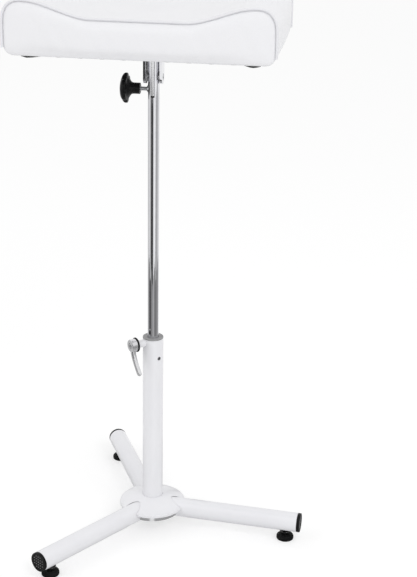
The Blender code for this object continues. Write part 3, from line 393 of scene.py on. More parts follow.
@dataclass(frozen=True)
class Finish:
    """One finish: its colours, gloss and surface texture.

    The texture's tone mixes colour towards shade, painted shade in pebble creases and weave hollows; worn
    edges mix it to bare.
    """

    slot: Slot
    colour: Colour
    shade: Colour
    rough: Flat
    texture: Texture
    scale: float
    depth: float
    bump: float
    metallic: float = 0.0
    coat: float = 0.0
    sheen: float = 0.0
    specular: float = 0.5
    bare: Colour = (0.6, 0.6, 0.6)
    wear: float = 0.0
    handling_scale: float = 35.0
    wear_scale: float = 420.0
    name: str = ""

    @property
    def label(self) -> str:
        """Returns the material's name, the slot's own unless the finish has one."""
        return self.name or self.slot.value

    def material(self, effects: Effects) -> bpy.types.Material:
        """Builds the finish's material.

        Args:
            effects: The shared node groups.

        Returns:
            The material.
        """
        made, graph = blank(self.label)
        spot = graph.add("ShaderNodeTexCoord").outputs["Object"]
        worn = graph.add("ShaderNodeAttribute", attribute_name="wear").outputs["Fac"]
        inputs: dict[str, dict[str, object]] = {
            self.texture.value: {"Scale": self.scale},
            "handling": {"Scale": self.handling_scale, "Low": self.rough[0], "High": self.rough[1]},
            "edge_wear": {"Worn": worn, "Scale": self.wear_scale, "Amount": self.wear},
        }
        skin, touch, edge = (
            graph.add("ShaderNodeGroup", {"Vector": spot, **values}, node_tree=effects.group(name)).outputs
            for name, values in inputs.items())
        # Pebble and weave tones are painted shade in creases and hollows; the other textures' tones vary at
        # random
        toned = graph.blend(skin["Tone"], (*self.colour, 1.0), (*self.shade, 1.0))
        colour = graph.blend(edge["Mask"], toned, (*self.bare, 1.0))
        relief = {"Strength": self.bump, "Distance": self.depth, "Height": skin["Height"]}
        bump = graph.add("ShaderNodeBump", relief)
        shader = graph.add("ShaderNodeBsdfPrincipled", {
            "Base Color": colour, "Roughness": touch["Roughness"], "Metallic": self.metallic,
            "Coat Weight": self.coat, "Sheen Weight": self.sheen, "Specular IOR Level": self.specular,
            "Normal": bump.outputs["Normal"]})
        graph.add("ShaderNodeOutputMaterial", {"Surface": shader.outputs["BSDF"]})
        return made


WHITE_PAINT = Finish(
    Slot.WHITE_PAINT, (0.86, 0.86, 0.885), (0.83, 0.83, 0.86), (0.28, 0.36), Texture.PEEL, scale=520.0,
    depth=0.0004, bump=0.12, coat=0.15, bare=(0.70, 0.70, 0.72), wear=0.35)
CHROME = Finish(
    Slot.CHROME, (0.80, 0.80, 0.82), (0.76, 0.76, 0.79), (0.05, 0.10), Texture.DRAWN, scale=2600.0,
    depth=0.0001, bump=0.03, metallic=1.0, bare=(0.66, 0.65, 0.64), wear=0.3)
ZINC = Finish(
    Slot.ZINC, (0.64, 0.64, 0.65), (0.54, 0.55, 0.57), (0.22, 0.36), Texture.DRAWN, scale=1800.0,
    depth=0.0002, bump=0.15, metallic=1.0, bare=(0.68, 0.67, 0.66), wear=0.5)
BLACKED_ZINC = replace(ZINC, name="blacked_zinc", colour=(0.07, 0.07, 0.072), shade=(0.05, 0.05, 0.052))
BRIGHT_ZINC = replace(
    ZINC, name="bright_zinc", colour=(0.80, 0.80, 0.81), shade=(0.74, 0.74, 0.76), rough=(0.14, 0.24))
BLACK_PLASTIC = Finish(
    Slot.BLACK_PLASTIC, (0.006, 0.006, 0.0065), (0.012, 0.012, 0.0125), (0.30, 0.42), Texture.MOULDED,
    scale=2200.0, depth=0.0002, bump=0.20, specular=0.12, bare=(0.030, 0.030, 0.030), wear=0.5)
# Painted glint: the caps' dots are black plastic too, coloured grey to stand in for the light their small
# domes catch
GLINT_PAINTED_PLASTIC = replace(
    BLACK_PLASTIC, name="polished_plastic", colour=(0.28, 0.28, 0.285), shade=(0.23, 0.23, 0.235),
    rough=(0.12, 0.20), specular=0.9)
GREY_PLASTIC = replace(
    BLACK_PLASTIC, name="grey_plastic", colour=(0.20, 0.20, 0.205), shade=(0.16, 0.16, 0.165))
BLACK_RUBBER = Finish(
    Slot.BLACK_RUBBER, (0.006, 0.006, 0.0065), (0.012, 0.012, 0.012), (0.50, 0.66), Texture.MOULDED,
    scale=1300.0, depth=0.0004, bump=0.35, specular=0.10, bare=(0.030, 0.030, 0.029), wear=0.5)
BLACK_STEEL = Finish(
    Slot.BLACK_STEEL, (0.03, 0.03, 0.032), (0.022, 0.022, 0.024), (0.32, 0.45), Texture.DRAWN, scale=1500.0,
    depth=0.0002, bump=0.15, metallic=1.0, bare=(0.20, 0.20, 0.20), wear=0.5)
GREY_NYLON = Finish(
    Slot.GREY_NYLON, (0.32, 0.32, 0.325), (0.27, 0.27, 0.275), (0.38, 0.52), Texture.MOULDED, scale=1500.0,
    depth=0.0003, bump=0.18, bare=(0.40, 0.40, 0.41), wear=0.4)
PALE_NYLON = replace(GREY_NYLON, name="pale_nylon", colour=(0.60, 0.60, 0.61), shade=(0.54, 0.54, 0.55))
LEVER_METAL = Finish(
    Slot.LEVER_METAL, (0.74, 0.74, 0.75), (0.66, 0.66, 0.68), (0.16, 0.26), Texture.PEEL, scale=900.0,
    depth=0.0002, bump=0.10, metallic=1.0, bare=(0.82, 0.82, 0.82), wear=0.4)
BRASS = Finish(
    Slot.BRASS, (0.60, 0.45, 0.20), (0.48, 0.34, 0.14), (0.28, 0.42), Texture.DRAWN, scale=1600.0,
    depth=0.0002, bump=0.15, metallic=1.0, bare=(0.75, 0.60, 0.32), wear=0.4)
# The shade colour of this and the piping's vinyl below is painted shade, taken in the pebble creases
PADDED_VINYL = Finish(
    Slot.PADDED_VINYL, (0.86, 0.86, 0.88), (0.835, 0.835, 0.857), (0.36, 0.46), Texture.PEBBLE, scale=760.0,
    depth=0.0003, bump=0.10, coat=0.08)
WHITE_VINYL = Finish(
    Slot.WHITE_VINYL, (0.84, 0.84, 0.86), (0.77, 0.77, 0.80), (0.36, 0.46), Texture.PEBBLE, scale=1100.0,
    depth=0.0003, bump=0.25, coat=0.08)
# The cloth's shade colour is painted shade, taken in the weave's hollows
BLACK_CLOTH = Finish(
    Slot.BLACK_CLOTH, (0.020, 0.020, 0.021), (0.008, 0.008, 0.008), (0.80, 0.92), Texture.WEAVE, scale=900.0,
    depth=0.0004, bump=0.6, sheen=0.25)
PLYWOOD = Finish(
    Slot.PLYWOOD, (0.58, 0.43, 0.26), (0.42, 0.29, 0.16), (0.60, 0.78), Texture.PLY, scale=26.0,
    depth=0.0003, bump=0.3)


# Meshes


@dataclass(frozen=True)
class Axis:
    """A place whose own Z runs along a piece and whose own X runs across it."""

    spot: Vector
    along: Vector
    across: Vector

    def matrix(self) -> Matrix:
        """Returns the matrix from the axis's own coordinates to the model's."""
        turn = Matrix((self.across, self.along.cross(self.across), self.along)).transposed().to_4x4()
        return Matrix.Translation(self.spot) @ turn


def upright(spot: Vector) -> Axis:
    """Returns an upright axis at a place."""
    return Axis(spot, UP, EAST)


def smooth(mesh: Mesh, crease: float = 32.0) -> Mesh:
    """Shades a mesh smooth.

    Args:
        mesh: The mesh.
        crease: The angle in degrees from which an edge stays sharp.

    Returns:
        The same mesh.
    """
    mesh.shade_smooth()
    mesh.set_sharp_from_angle(angle=radians(crease))
    return mesh


def meshed(build: bmesh.types.BMesh, place: Matrix) -> Mesh:
    """Turns a built shape's faces outward and puts it in place.

    Args:
        build: The shape, which is freed.
        place: From its own coordinates to the model's.

    Returns:
        Its smooth mesh.
    """
    bmesh.ops.recalc_face_normals(build, faces=build.faces)
    build.transform(place)
    mesh = bpy.data.meshes.new("shape")
    build.to_mesh(mesh)
    build.free()
    return smooth(mesh)


def filleted(corners: Sequence[Corner], steps: int = 4) -> list[Corner]:
    """Rounds a profile's corners.

    Args:
        corners: Radius, height and rounding of each corner. With no end on the axis, the profile is closed.
        steps: Straight pieces in each rounding.

    Returns:
        Radius, height and wear of each point. Wear is 1 on a rounding and 0 elsewhere.
    """
    largest = 0.42
    roomy = 5.0
    points: list[Corner] = []
    count = len(corners)
    closed = min(corners[0][0], corners[-1][0]) > 0.0
    for index, (radius, height, rounding) in enumerate(corners):
        if rounding <= 0.0 or (not closed and index in (0, count - 1)):
            points.append((radius, height, 0.0))
            continue
        here = Vector((radius, height))
        sides = [Vector(corners[index - 1][:2]) - here, Vector(corners[(index + 1) % count][:2]) - here]
        cut = min([rounding] + [largest * side.length for side in sides])
        ends = [here + side.normalized() * cut for side in sides]
        guards = [[(*(here + side.normalized() * cut * 2.0), 0.0)] if side.length > roomy * cut else []
                  for side in sides]
        points += guards[0]
        for step in range(steps + 1):
            share = step / steps
            spot = ends[0] * (1.0 - share) ** 2 + here * 2.0 * share * (1.0 - share) + ends[1] * share ** 2
            points.append((*spot, 1.0))
        points += guards[1]
    return points


def turned(points: Sequence[Corner], axis: Axis, steps: int = 72, shape: Shape | None = None) -> Mesh:
    """Turns a profile about an axis.

    Args:
        points: Radius, height and wear of each point. With no end on the axis, the profile is closed.
        axis: Where the profile turns.
        steps: Facets round the axis.
        shape: Gives the radius and height of a point from its angle, radius and height.

    Returns:
        The mesh, with a wear attribute on its points.
    """
    least = 1e-7
    build = bmesh.new()
    layer = build.verts.layers.float.new("wear")
    rings = []
    for radius, height, worn in points:
        spots = [(radius, height)] * steps
        if shape is not None:
            spots = [shape(tau * index / steps, radius, height) for index in range(steps)]
        count = steps if max(spot[0] for spot in spots) > least else 1
        ring = []
        for index in range(count):
            turn = tau * index / steps
            reach, rise = spots[index]
            vert = build.verts.new((reach * cos(turn), reach * sin(turn), rise))
            vert[layer] = worn
            ring.append(vert)
        rings.append(ring * (steps // count))
    pairs = list(zip(rings, rings[1:]))
    if min(points[0][0], points[-1][0]) > least:
        pairs.append((rings[-1], rings[0]))
    for first, second in pairs:
        for index in range(steps):
            after = (index + 1) % steps
            corners = dict.fromkeys((first[index], first[after], second[after], second[index]))
            if len(corners) > 2:
                build.faces.new(list(corners))
    return meshed(build, axis.matrix())


def tube(outer: float, inner: float, low: float, high: float, rounding: float) -> list[Corner]:
    """Returns the filleted closed section of a tube or ring."""
    return filleted([(outer, high, rounding), (outer, low, rounding), (inner, low, rounding),
                     (inner, high, rounding)])


def rod(radius: float, low: float, high: float, rounding: float = 0.0, steps: int = 4) -> list[Corner]:
    """Returns the filleted half section of a rod."""
    corners = [(0.0, high, 0.0), (radius, high, rounding), (radius, low, rounding), (0.0, low, 0.0)]
    return filleted(corners, steps=steps)


def hexagon(flat: float) -> Shape:
    """Makes a shape that keeps points inside six flats.

    Args:
        flat: The flats' distance from the axis.

    Returns:
        The shape.
    """
    def kept(angle: float, radius: float, height: float) -> Flat:
        """Returns the point, drawn in to the nearest flat."""
        turn = (angle + pi / 6.0) % (pi / 3.0) - pi / 6.0
        return min(radius, flat / cos(turn)), height
    return kept


@dataclass(frozen=True)
class Thread:
    """A metric thread, with the radius over its crests."""

    radius: float
    pitch: float


M6 = Thread(radius=0.003, pitch=0.001)
M8 = Thread(radius=0.004, pitch=0.00125)


def threaded(thread: Thread, low: float, high: float, axis: Axis) -> Mesh:
    """Makes a screw with a real right-handed thread.

    Args:
        thread: Its thread.
        low: Where it starts along the axis.
        high: Where it ends.
        axis: Its axis.

    Returns:
        The screw, with chamfered ends.
    """
    rings_a_turn = 6
    crease = 50.0
    radius, pitch = thread.radius, thread.pitch
    depth = 0.55 * pitch
    count = max(int((high - low) / pitch * rings_a_turn), rings_a_turn)
    points: list[Corner] = [(0.0, high, 0.0), (radius - depth, high, 0.0)]
    for index in range(count + 1):
        points.append((radius, high - depth - (high - low - 2.0 * depth) * index / count, 0.0))
    points += [(radius - depth, low, 0.0), (0.0, low, 0.0)]

    def cut(angle: float, reach: float, height: float) -> Flat:
        """Returns the point, drawn in by the groove away from the chamfered ends."""
        phase = (height / pitch - angle / tau) % 1.0
        return (reach - depth * abs(2.0 * phase - 1.0) if reach >= radius else reach), height
    return smooth(turned(points, axis, steps=30, shape=cut), crease)


def slab(outlines: Sequence[Sequence[Flat]], thickness: float, place: Matrix, rounding: float = 0.0) -> Mesh:
    """Makes a flat plate from closed outlines, inner ones being holes.

    Args:
        outlines: Points of each outline in the plate's own XY.
        thickness: The plate's thickness, centred on its own Z = 0.
        place: From the plate's own coordinates to the model's.
        rounding: Radius of its edges.

    Returns:
        The plate's mesh.
    """
    curve = bpy.data.curves.new("plate", "CURVE")
    curve.dimensions = "2D"
    curve.fill_mode = "BOTH"
    curve.extrude = thickness / 2.0 - rounding
    curve.bevel_depth = rounding
    curve.bevel_resolution = 2
    curve.offset = -rounding
    for outline in outlines:
        spline = curve.splines.new("POLY")
        spline.points.add(len(outline) - 1)
        for point, (x, y) in zip(spline.points, outline):
            point.co = (x, y, 0.0, 1.0)
        spline.use_cyclic_u = True
    mesh = settled(linked(bpy.data.objects.new("plate", curve)))
    bpy.data.curves.remove(curve)
    return tidied(mesh, place)


def tidied(mesh: Mesh, place: Matrix) -> Mesh:
    """Merges a mesh's doubles, turns its faces outward and puts it in place.

    Args:
        mesh: The mesh, which is used up.
        place: From its own coordinates to the model's.

    Returns:
        The clean mesh.
    """
    nearest = 0.00001
    build = bmesh.new()
    build.from_mesh(mesh)
    bpy.data.meshes.remove(mesh)
    bmesh.ops.remove_doubles(build, verts=build.verts, dist=nearest)
    return meshed(build, place)


def linked(item: Item) -> Item:
    """Puts an object in the scene and returns it."""
    bpy.context.scene.collection.objects.link(item)
    return item


def settled(item: Item) -> Mesh:
    """Applies an object's modifiers and removes it.

    Args:
        item: The object.

    Returns:
        Its evaluated mesh.
    """
    bpy.context.view_layer.update()
    seen = item.evaluated_get(bpy.context.evaluated_depsgraph_get())
    mesh = bpy.data.meshes.new_from_object(seen)
    bpy.data.objects.remove(item, do_unlink=True)
    return mesh


def carved(mesh: Mesh, tools: Sequence[Mesh], carving: Carving = Carving.CUT) -> Mesh:
    """Works on a mesh with solid tools.

    Args:
        mesh: The mesh to work on.
        tools: The meshes that work on it.
        carving: What they do to it.

    Returns:
        The new mesh.
    """
    target = linked(bpy.data.objects.new("carved", mesh))
    helpers = [linked(bpy.data.objects.new("tool", tool)) for tool in tools]
    for helper in helpers:
        step = target.modifiers.new("carve", "BOOLEAN")
        step.operation = carving.value
        step.solver = "EXACT"
        step.object = helper
    result = settled(target)
    for helper in helpers:
        bpy.data.objects.remove(helper, do_unlink=True)
    return smooth(result)


def keyed(screw: Mesh, flat: float, low: float, high: float, axis: Axis) -> Mesh:
    """Sinks a hexagon recess into a screw's end, between two places on its axis, and returns the screw."""
    key = turned(rod(2.0 * flat, low, high), axis, steps=48, shape=hexagon(flat))
    return tidied(carved(screw, [key]), Matrix())


def joined(meshes: Sequence[Mesh]) -> Mesh:
    """Puts several meshes together.

    Args:
        meshes: The meshes, which are used up.

    Returns:
        One mesh of them all.
    """
    build = bmesh.new()
    for mesh in meshes:
        build.from_mesh(mesh)
        bpy.data.meshes.remove(mesh)
    whole = bpy.data.meshes.new("joined")
    build.to_mesh(whole)
    build.free()
    return smooth(whole)


def wired(points: Sequence[Vector | Corner], edges: int, facing: Sequence[Vector] = ()) -> Mesh:
    """Makes points, or a path along them, for a geometry node tree.

    Args:
        points: The points in order.
        edges: How many edges join them, each from a point to the next. The last point's next is the first.
        facing: Which way the surface under each point faces, where the tree reads it.

    Returns:
        The mesh.
    """
    mesh = bpy.data.meshes.new("path")
    mesh.from_pydata(points, [(index, (index + 1) % len(points)) for index in range(edges)], [])
    if facing:
        layer = mesh.attributes.new("facing", "FLOAT_VECTOR", "POINT")
        for item, normal in zip(layer.data, facing):
            item.vector = normal
    return mesh


def arc(centre: Flat, radius: float, start: float, end: float, steps: int) -> list[Flat]:
    """Returns points on an arc, both ends included, with angles in radians."""
    turns = [start + (end - start) * index / steps for index in range(steps + 1)]
    return [(centre[0] + radius * cos(turn), centre[1] + radius * sin(turn)) for turn in turns]


def resampled(path: Sequence[Vector], count: int) -> list[Vector]:
    """Spaces a path's points evenly.

    Args:
        path: The points of a polyline.
        count: How many equal steps to take along it.

    Returns:
        The count + 1 evenly spaced points, both ends included.
    """
    least = 1e-9
    reach = [0.0]
    for first, second in zip(path, path[1:]):
        reach.append(reach[-1] + (second - first).length)
    found = []
    index = 0
    for step in range(count + 1):
        goal = reach[-1] * step / count
        while index < len(path) - 2 and reach[index + 1] < goal:
            index += 1
        share = (goal - reach[index]) / max(reach[index + 1] - reach[index], least)
        found.append(path[index].lerp(path[index + 1], min(share, 1.0)))
    return found


# Geometry node trees for what repeats or follows a path


class GrowthTree:
    """A geometry node tree with named inputs, ending in realised instances and a material."""

    def __init__(self, name: str) -> None:
        """Starts a tree with a geometry and a material input.

        Args:
            name: The tree's name.
        """
        self.tree = bpy.data.node_groups.new(name, "GeometryNodeTree")
        self.ids: dict[str, str] = {}
        for way in ("INPUT", "OUTPUT"):
            self.tree.interface.new_socket("Geometry", in_out=way, socket_type="NodeSocketGeometry")
        self.graph = Graph(self.tree)
        self.entry = self.graph.add("NodeGroupInput")
        self.value("Material", "NodeSocketMaterial")

    def value(self, name: str, kind: str = "NodeSocketFloat") -> Socket:
        """Adds a named input.

        Args:
            name: Its name.
            kind: Its socket type.

        Returns:
            Its socket inside the tree.
        """
        item = self.tree.interface.new_socket(name, in_out="INPUT", socket_type=kind)
        self.ids[name] = item.identifier
        return self.entry.outputs[name]

    def path(self) -> Socket:
        """Returns the tree's geometry as a curve."""
        return self.graph.add("GeometryNodeMeshToCurve", {0: self.entry.outputs["Geometry"]}).outputs[0]

    def close(self, shape: Socket) -> None:
        """Ends the tree.

        Args:
            shape: The geometry that it puts out.
        """
        solid = self.graph.add("GeometryNodeRealizeInstances", {0: shape}).outputs[0]
        inputs = {"Geometry": solid, "Material": self.entry.outputs["Material"]}
        dressed = self.graph.add("GeometryNodeSetMaterial", inputs).outputs[0]
        self.graph.add("NodeGroupOutput", {0: dressed})

    def scatter(self, points: Socket, unit: Socket, turn: Socket) -> None:
        """Sets a shape on points and ends the tree.

        Args:
            points: Where the shape goes.
            unit: The object that holds it.
            turn: Its rotation on each point.
        """
        shape = self.graph.add("GeometryNodeObjectInfo", {"Object": unit}).outputs["Geometry"]
        inputs = {"Points": points, "Instance": shape, "Rotation": turn}
        self.close(self.graph.add("GeometryNodeInstanceOnPoints", inputs).outputs[0])

    def grow(self, base: Mesh, material: bpy.types.Material, unit: Mesh | None = None,
             **values: object) -> Mesh:
        """Runs the tree on a mesh.

        Args:
            base: The path or points that it grows on.
            material: The material that it sets.
            unit: The shape that it repeats, if it does.
            values: Its other inputs, by name in lower case.

        Returns:
            The plain mesh that comes out.
        """
        crease = 50.0
        item = bpy.data.objects.new(self.tree.name, base)
        step = item.modifiers.new("grow", "NODES")
        step.node_group = self.tree
        step[self.ids["Material"]] = material
        pattern = linked(bpy.data.objects.new("unit", unit)) if unit else None
        if pattern:
            step[self.ids["Unit"]] = pattern
        for name, value in values.items():
            step[self.ids[name.capitalize()]] = value
        mesh = settled(linked(item))
        if pattern:
            bpy.data.objects.remove(pattern, do_unlink=True)
        return smooth(mesh, crease)


class PipingTree(GrowthTree):
    """Sweeps a slightly uneven round cord along a path."""

    def __init__(self) -> None:
        """Builds the tree."""
        super().__init__("piping")
        radius = self.value("Radius")
        spacing = self.value("Spacing")
        uneven = self.value("Unevenness")
        add = self.graph.add
        even = add("GeometryNodeResampleCurve", {"Curve": self.path(), "Length": spacing}, mode="LENGTH")
        ripple = add("ShaderNodeTexNoise", {"Scale": 130.0, "Detail": 1.0}).outputs[0]
        share = self.graph.calc("MULTIPLY", self.graph.calc("SUBTRACT", ripple, 0.5), uneven)
        ring = add("GeometryNodeCurvePrimitiveCircle", {"Resolution": 14, "Radius": radius}).outputs[0]
        swell = self.graph.calc("ADD", share, 1.0)
        inputs = {"Curve": even.outputs[0], "Profile Curve": ring, "Scale": swell, "Fill Caps": True}
        self.close(add("GeometryNodeCurveToMesh", inputs).outputs[0])


class RowTree(GrowthTree):
    """Sets a small shape at even spacing along a path, lying on the surface that the path follows."""

    def __init__(self) -> None:
        """Builds the tree."""
        super().__init__("row")
        unit = self.value("Unit", "NodeSocketObject")
        spacing = self.value("Spacing")
        sway = self.value("Sway")
        seed = self.value("Seed", "NodeSocketInt")
        add = self.graph.add
        points = add("GeometryNodeCurveToPoints", {"Curve": self.path(), "Length": spacing}, mode="LENGTH")
        facing = add("GeometryNodeInputNamedAttribute", {"Name": "facing"}, data_type="FLOAT_VECTOR")
        ahead = add("FunctionNodeAlignRotationToVector", {"Vector": points.outputs["Tangent"]}, axis="X")
        inputs = {"Rotation": ahead.outputs[0], "Vector": facing.outputs[0]}
        flat = add("FunctionNodeAlignRotationToVector", inputs, axis="Z", pivot_axis="X")
        lean = self.graph.spin(self.graph.calc("MULTIPLY", self.graph.chance(-1.0, 1.0, seed), sway))
        final = add("FunctionNodeRotateRotation", {0: flat.outputs[0], 1: lean}, rotation_space="LOCAL")
        self.scatter(points.outputs["Points"], unit, final.outputs[0])


class RingTree(GrowthTree):
    """Sets a small shape evenly round a circle, pointing outward from its middle."""

    def __init__(self) -> None:
        """Builds the tree."""
        super().__init__("ring")
        unit = self.value("Unit", "NodeSocketObject")
        count = self.value("Count", "NodeSocketInt")
        radius = self.value("Radius")
        add = self.graph.add
        ring = add("GeometryNodeMeshCircle", {"Vertices": count, "Radius": radius}).outputs[0]
        spot = add("GeometryNodeInputPosition").outputs[0]
        out = add("FunctionNodeAlignRotationToVector", {"Vector": spot}, axis="X", pivot_axis="Z").outputs[0]
        self.scatter(ring, unit, out)


class SetTree(GrowthTree):
    """Sets one shape on each point of a mesh, each turned by its own angle about the vertical."""

    def __init__(self) -> None:
        """Builds the tree."""
        super().__init__("set")
        unit = self.value("Unit", "NodeSocketObject")
        seed = self.value("Seed", "NodeSocketInt")
        turn = self.graph.spin(self.graph.chance(0.0, tau, seed))
        self.scatter(self.entry.outputs["Geometry"], unit, turn)


class Maker:
    """Keeps the finishes' materials and turns meshes into named pieces."""

    def __init__(self) -> None:
        """Starts with no material built."""
        self.effects = Effects()
        self.materials: dict[str, bpy.types.Material] = {}

    def paint(self, finish: Finish) -> bpy.types.Material:
        """Finds a finish's material, building it on first use.

        Args:
            finish: The finish.

        Returns:
            Its material.
        """
        if finish.label not in self.materials:
            self.materials[finish.label] = finish.material(self.effects)
        return self.materials[finish.label]

    def piece(self, name: str, mesh: Mesh, finish: Finish, body: str, *nodes: str) -> Item:
        """Makes a piece that rides on a body.

        Args:
            name: The piece's name.
            mesh: Its mesh, in place.
            finish: Its finish.
            body: The body that carries it.
            nodes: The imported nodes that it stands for.

        Returns:
            The piece.
        """
        item = linked(bpy.data.objects.new(name, mesh))
        mesh.name = name
        mesh.materials.clear()
        mesh.materials.append(self.paint(finish))
        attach(item, body)
        if nodes:
            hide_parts(*nodes)
        LOG.info("%s rides on %s with %d faces", name, body, len(mesh.polygons))
        return item

    def dress(self, finish: Finish, *nodes: str) -> None:
        """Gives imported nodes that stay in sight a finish.

        Args:
            finish: The finish.
            nodes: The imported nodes.
        """
        for name in nodes:
            slots = frame["nodes"][name].data.materials
            slots.clear()
            slots.append(self.paint(finish))
            LOG.info("%s keeps its packed shape", name)


@dataclass
class Assembly:
    """A sub-assembly: the maker of its pieces and the body that they ride on."""

    maker: Maker
    body: Body

    def piece(self, name: str, mesh: Mesh, finish: Finish, *nodes: str) -> Item:
        """Makes a piece that rides on the assembly's body and returns it."""
        return self.maker.piece(name, mesh, finish, self.body.value, *nodes)


# Stand


@dataclass
class Tripod(Assembly):
    """The crowned hub, three leg tubes with end caps, and the levelling feet.

    The pad's edge is given as inset, height and wear, and the grooves under it as inset and depth.
    """

    body: Body = Body.STAND
    azimuths: tuple[float, ...] = (radians(-5.0), radians(115.0), radians(235.0))
    leg_radius: float = 0.01425
    leg_wall: float = 0.0015
    leg_root: float = 0.0200
    leg_reach: float = 0.2285
    end_flange: float = 0.0045
    end_dish: float = 0.0012
    end_plug: float = 0.0065
    end_taper: float = 0.0002
    end_rim: float = 0.0016
    dot_radius: float = 0.0008
    dot_height: float = 0.0008
    dot_root: float = 0.0002
    dot_spacing: float = 0.0042
    dot_steps: int = 3
    cap_radius: float = 0.0495
    cap_shell: float = 0.0025
    cap_crown: float = 0.0125
    cap_lip: float = 0.0018
    cap_rise: float = 0.0073
    cap_spare: float = 0.0007
    cap_steps: int = 16
    cap_edge_steps: int = 6
    column_hole: float = 0.0153
    core_radius: float = 0.0240
    core_floor: float = 0.004
    core_bevel: float = 0.0007
    wing_radius: float = 0.0425
    wing_height: float = 0.0096
    washer_radius: float = 0.012
    bolt_hole: float = 0.0043
    bolt_flat: float = 0.0065
    bolt_chamfer: float = 0.0009
    bolt_point: float = 0.92
    collar_flat: float = 0.0062
    collar_radius: float = 0.0072
    collar_height: float = 0.0046
    collar_chamfer: float = 0.0007
    collar_point: float = 0.90
    nut_radius: float = 0.006
    nut_flange: float = 0.0084
    pad_radius: float = 0.0128
    pad_edge: float = 0.0036
    pad_steps: int = 16
    pad_skirt: tuple[Corner, ...] = (
        (0.0, 0.0026, 0.0), (0.0005, 0.0022, 0.0), (0.0005, 0.0016, 0.0), (0.0, 0.0012, 1.0),
        (0.0002, 0.0002, 1.0), (0.0005, 0.0, 1.0))
    groove_radii: tuple[float, ...] = (0.0105, 0.0080, 0.0055)
    groove: tuple[Flat, ...] = ((0.0, 0.0), (0.0002, 0.0006), (0.0008, 0.0006), (0.0010, 0.0))

    def leg_axis(self, index: int) -> Axis:
        """Returns a leg's axis, outward from the column."""
        turn = self.azimuths[index]
        return Axis(on_axis(middle("leg_cap_1").z), Vector((cos(turn), sin(turn), 0.0)), UP)

    def sockets(self, start: float, spare: float) -> list[Mesh]:
        """Returns the round tools that let the legs into the hub with some spare room."""
        points = rod(self.leg_radius + spare, start, self.leg_reach)
        return [turned(points, self.leg_axis(index)) for index in range(len(self.azimuths))]

    def build(self) -> None:
        """Makes every piece of the tripod."""
        self.build_cap()
        self.build_core()
        self.build_bolt()
        for index in range(len(self.azimuths)):
            self.build_leg(index)
            self.build_foot(index)

    def crown(self, radius: float) -> float:
        """Returns the height of the hub cap's top above its edge at a distance from the column."""
        rim = self.cap_radius - self.cap_shell
        return self.cap_crown * (1.0 - min(radius / rim, 1.0) ** 2)

    def build_cap(self) -> None:
        """Makes the white crowned cap with its notches for the legs."""
        rim = self.cap_radius - self.cap_shell
        low = -self.cap_shell - self.cap_lip
        steps = [self.column_hole + (rim - self.column_hole) * index / self.cap_steps
                 for index in range(self.cap_steps)]
        points = [(radius, self.crown(radius), 0.0) for radius in steps]
        points += [(rim + self.cap_shell * sin(turn), self.cap_shell * (cos(turn) - 1.0), 1.0)
                   for turn in quarter(self.cap_edge_steps)]
        points += [(self.cap_radius, low, 1.0), (rim, low, 1.0), (rim, -self.cap_shell, 0.0)]
        points += [(radius, self.crown(radius) - self.cap_shell, 0.0) for radius in reversed(steps)]
        axis = upright(on_axis(self.leg_axis(0).spot.z + self.cap_rise))
        mesh = turned(points, axis, steps=120)
        mesh = carved(mesh, self.sockets(self.column_hole, self.cap_spare))
        self.piece("hub_dome", mesh, WHITE_PAINT, "hub_cap")

    def build_core(self) -> None:
        """Makes the zinc core under the cap."""
        low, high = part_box("hub_core")
        top = high.z - low.z
        edge = self.leg_axis(0).spot.z + self.cap_rise - self.cap_shell - self.cap_lip - GAP - low.z
        wing = edge - self.wing_height
        bevel = self.core_bevel
        corners = [
            (self.core_radius, top, 0.0), (self.core_radius, edge, 0.0), (self.wing_radius, edge, bevel),
            (self.wing_radius, wing, 2.0 * bevel), (self.core_radius, wing, bevel),
            (self.core_radius, 0.0, 2.0 * bevel), (self.bolt_hole, 0.0, 0.0),
            (self.bolt_hole, self.core_floor, 0.0), (self.column_hole, self.core_floor, 0.0),
            (self.column_hole, top, 0.0),
        ]
        mesh = turned(filleted(corners), upright(on_axis(low.z)), steps=96)
        mesh = carved(mesh, self.sockets(self.leg_root - GAP, GAP))
        self.piece("hub_boss", mesh, BRIGHT_ZINC, "hub_core")

    def build_bolt(self) -> None:
        """Makes the washer and the hexagon bolt below the core."""
        axis = upright(on_axis())
        low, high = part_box("base_washer")
        ring = tube(self.washer_radius, self.bolt_hole, low.z, high.z, EASED)
        self.piece("hub_washer", turned(ring, axis, steps=64), ZINC, "base_washer")
        head = low.z - GAP
        low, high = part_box("base_bolt")
        shank = self.bolt_hole - GAP
        reach = self.bolt_flat / cos(pi / 6.0)
        corners = [
            (0.0, high.z, 0.0), (shank, high.z, BROKEN), (shank, head, 0.0), (reach, head, 0.0),
            (reach, low.z + self.bolt_chamfer, 0.0), (self.bolt_point * self.bolt_flat, low.z, CRISP),
            (0.0, low.z, 0.0),
        ]
        mesh = turned(filleted(corners), axis, shape=hexagon(self.bolt_flat))
        self.piece("hub_bolt", mesh, ZINC, "base_bolt")

    def build_leg(self, index: int) -> None:
        """Makes one leg tube, its black end cap and the threaded insert below it.

        Args:
            index: Which leg, from 0.
        """
        number = index + 1
        axis = self.leg_axis(index)
        reach = self.leg_reach
        shoulder = reach - self.end_flange
        bore = self.leg_radius - self.leg_wall
        section = tube(self.leg_radius, bore, self.leg_root, shoulder - GAP, BROKEN)
        mesh = turned(section, axis, steps=96)
        self.piece(f"leg_tube_{number}", mesh, WHITE_PAINT, f"leg_{number}")

        face = reach - self.end_dish
        dish = self.leg_radius - self.end_rim
        plug = bore - GAP
        inner = shoulder - self.end_plug
        corners = [
            (0.0, face, 0.0), (dish - self.end_dish, face, SOFT), (dish, reach, SOFT),
            (self.leg_radius, reach, self.end_dish), (self.leg_radius, shoulder, EASED),
            (plug, shoulder, 0.0), (plug - self.end_taper, inner, SOFT), (0.0, inner, 0.0),
        ]
        self.piece(f"end_cap_{number}", turned(filleted(corners), axis), BLACK_PLASTIC, f"leg_cap_{number}")
        # The dots' grey is painted glint on the black cap
        self.piece(f"cap_dots_{number}", self.dots(axis, face), GLINT_PAINTED_PLASTIC)

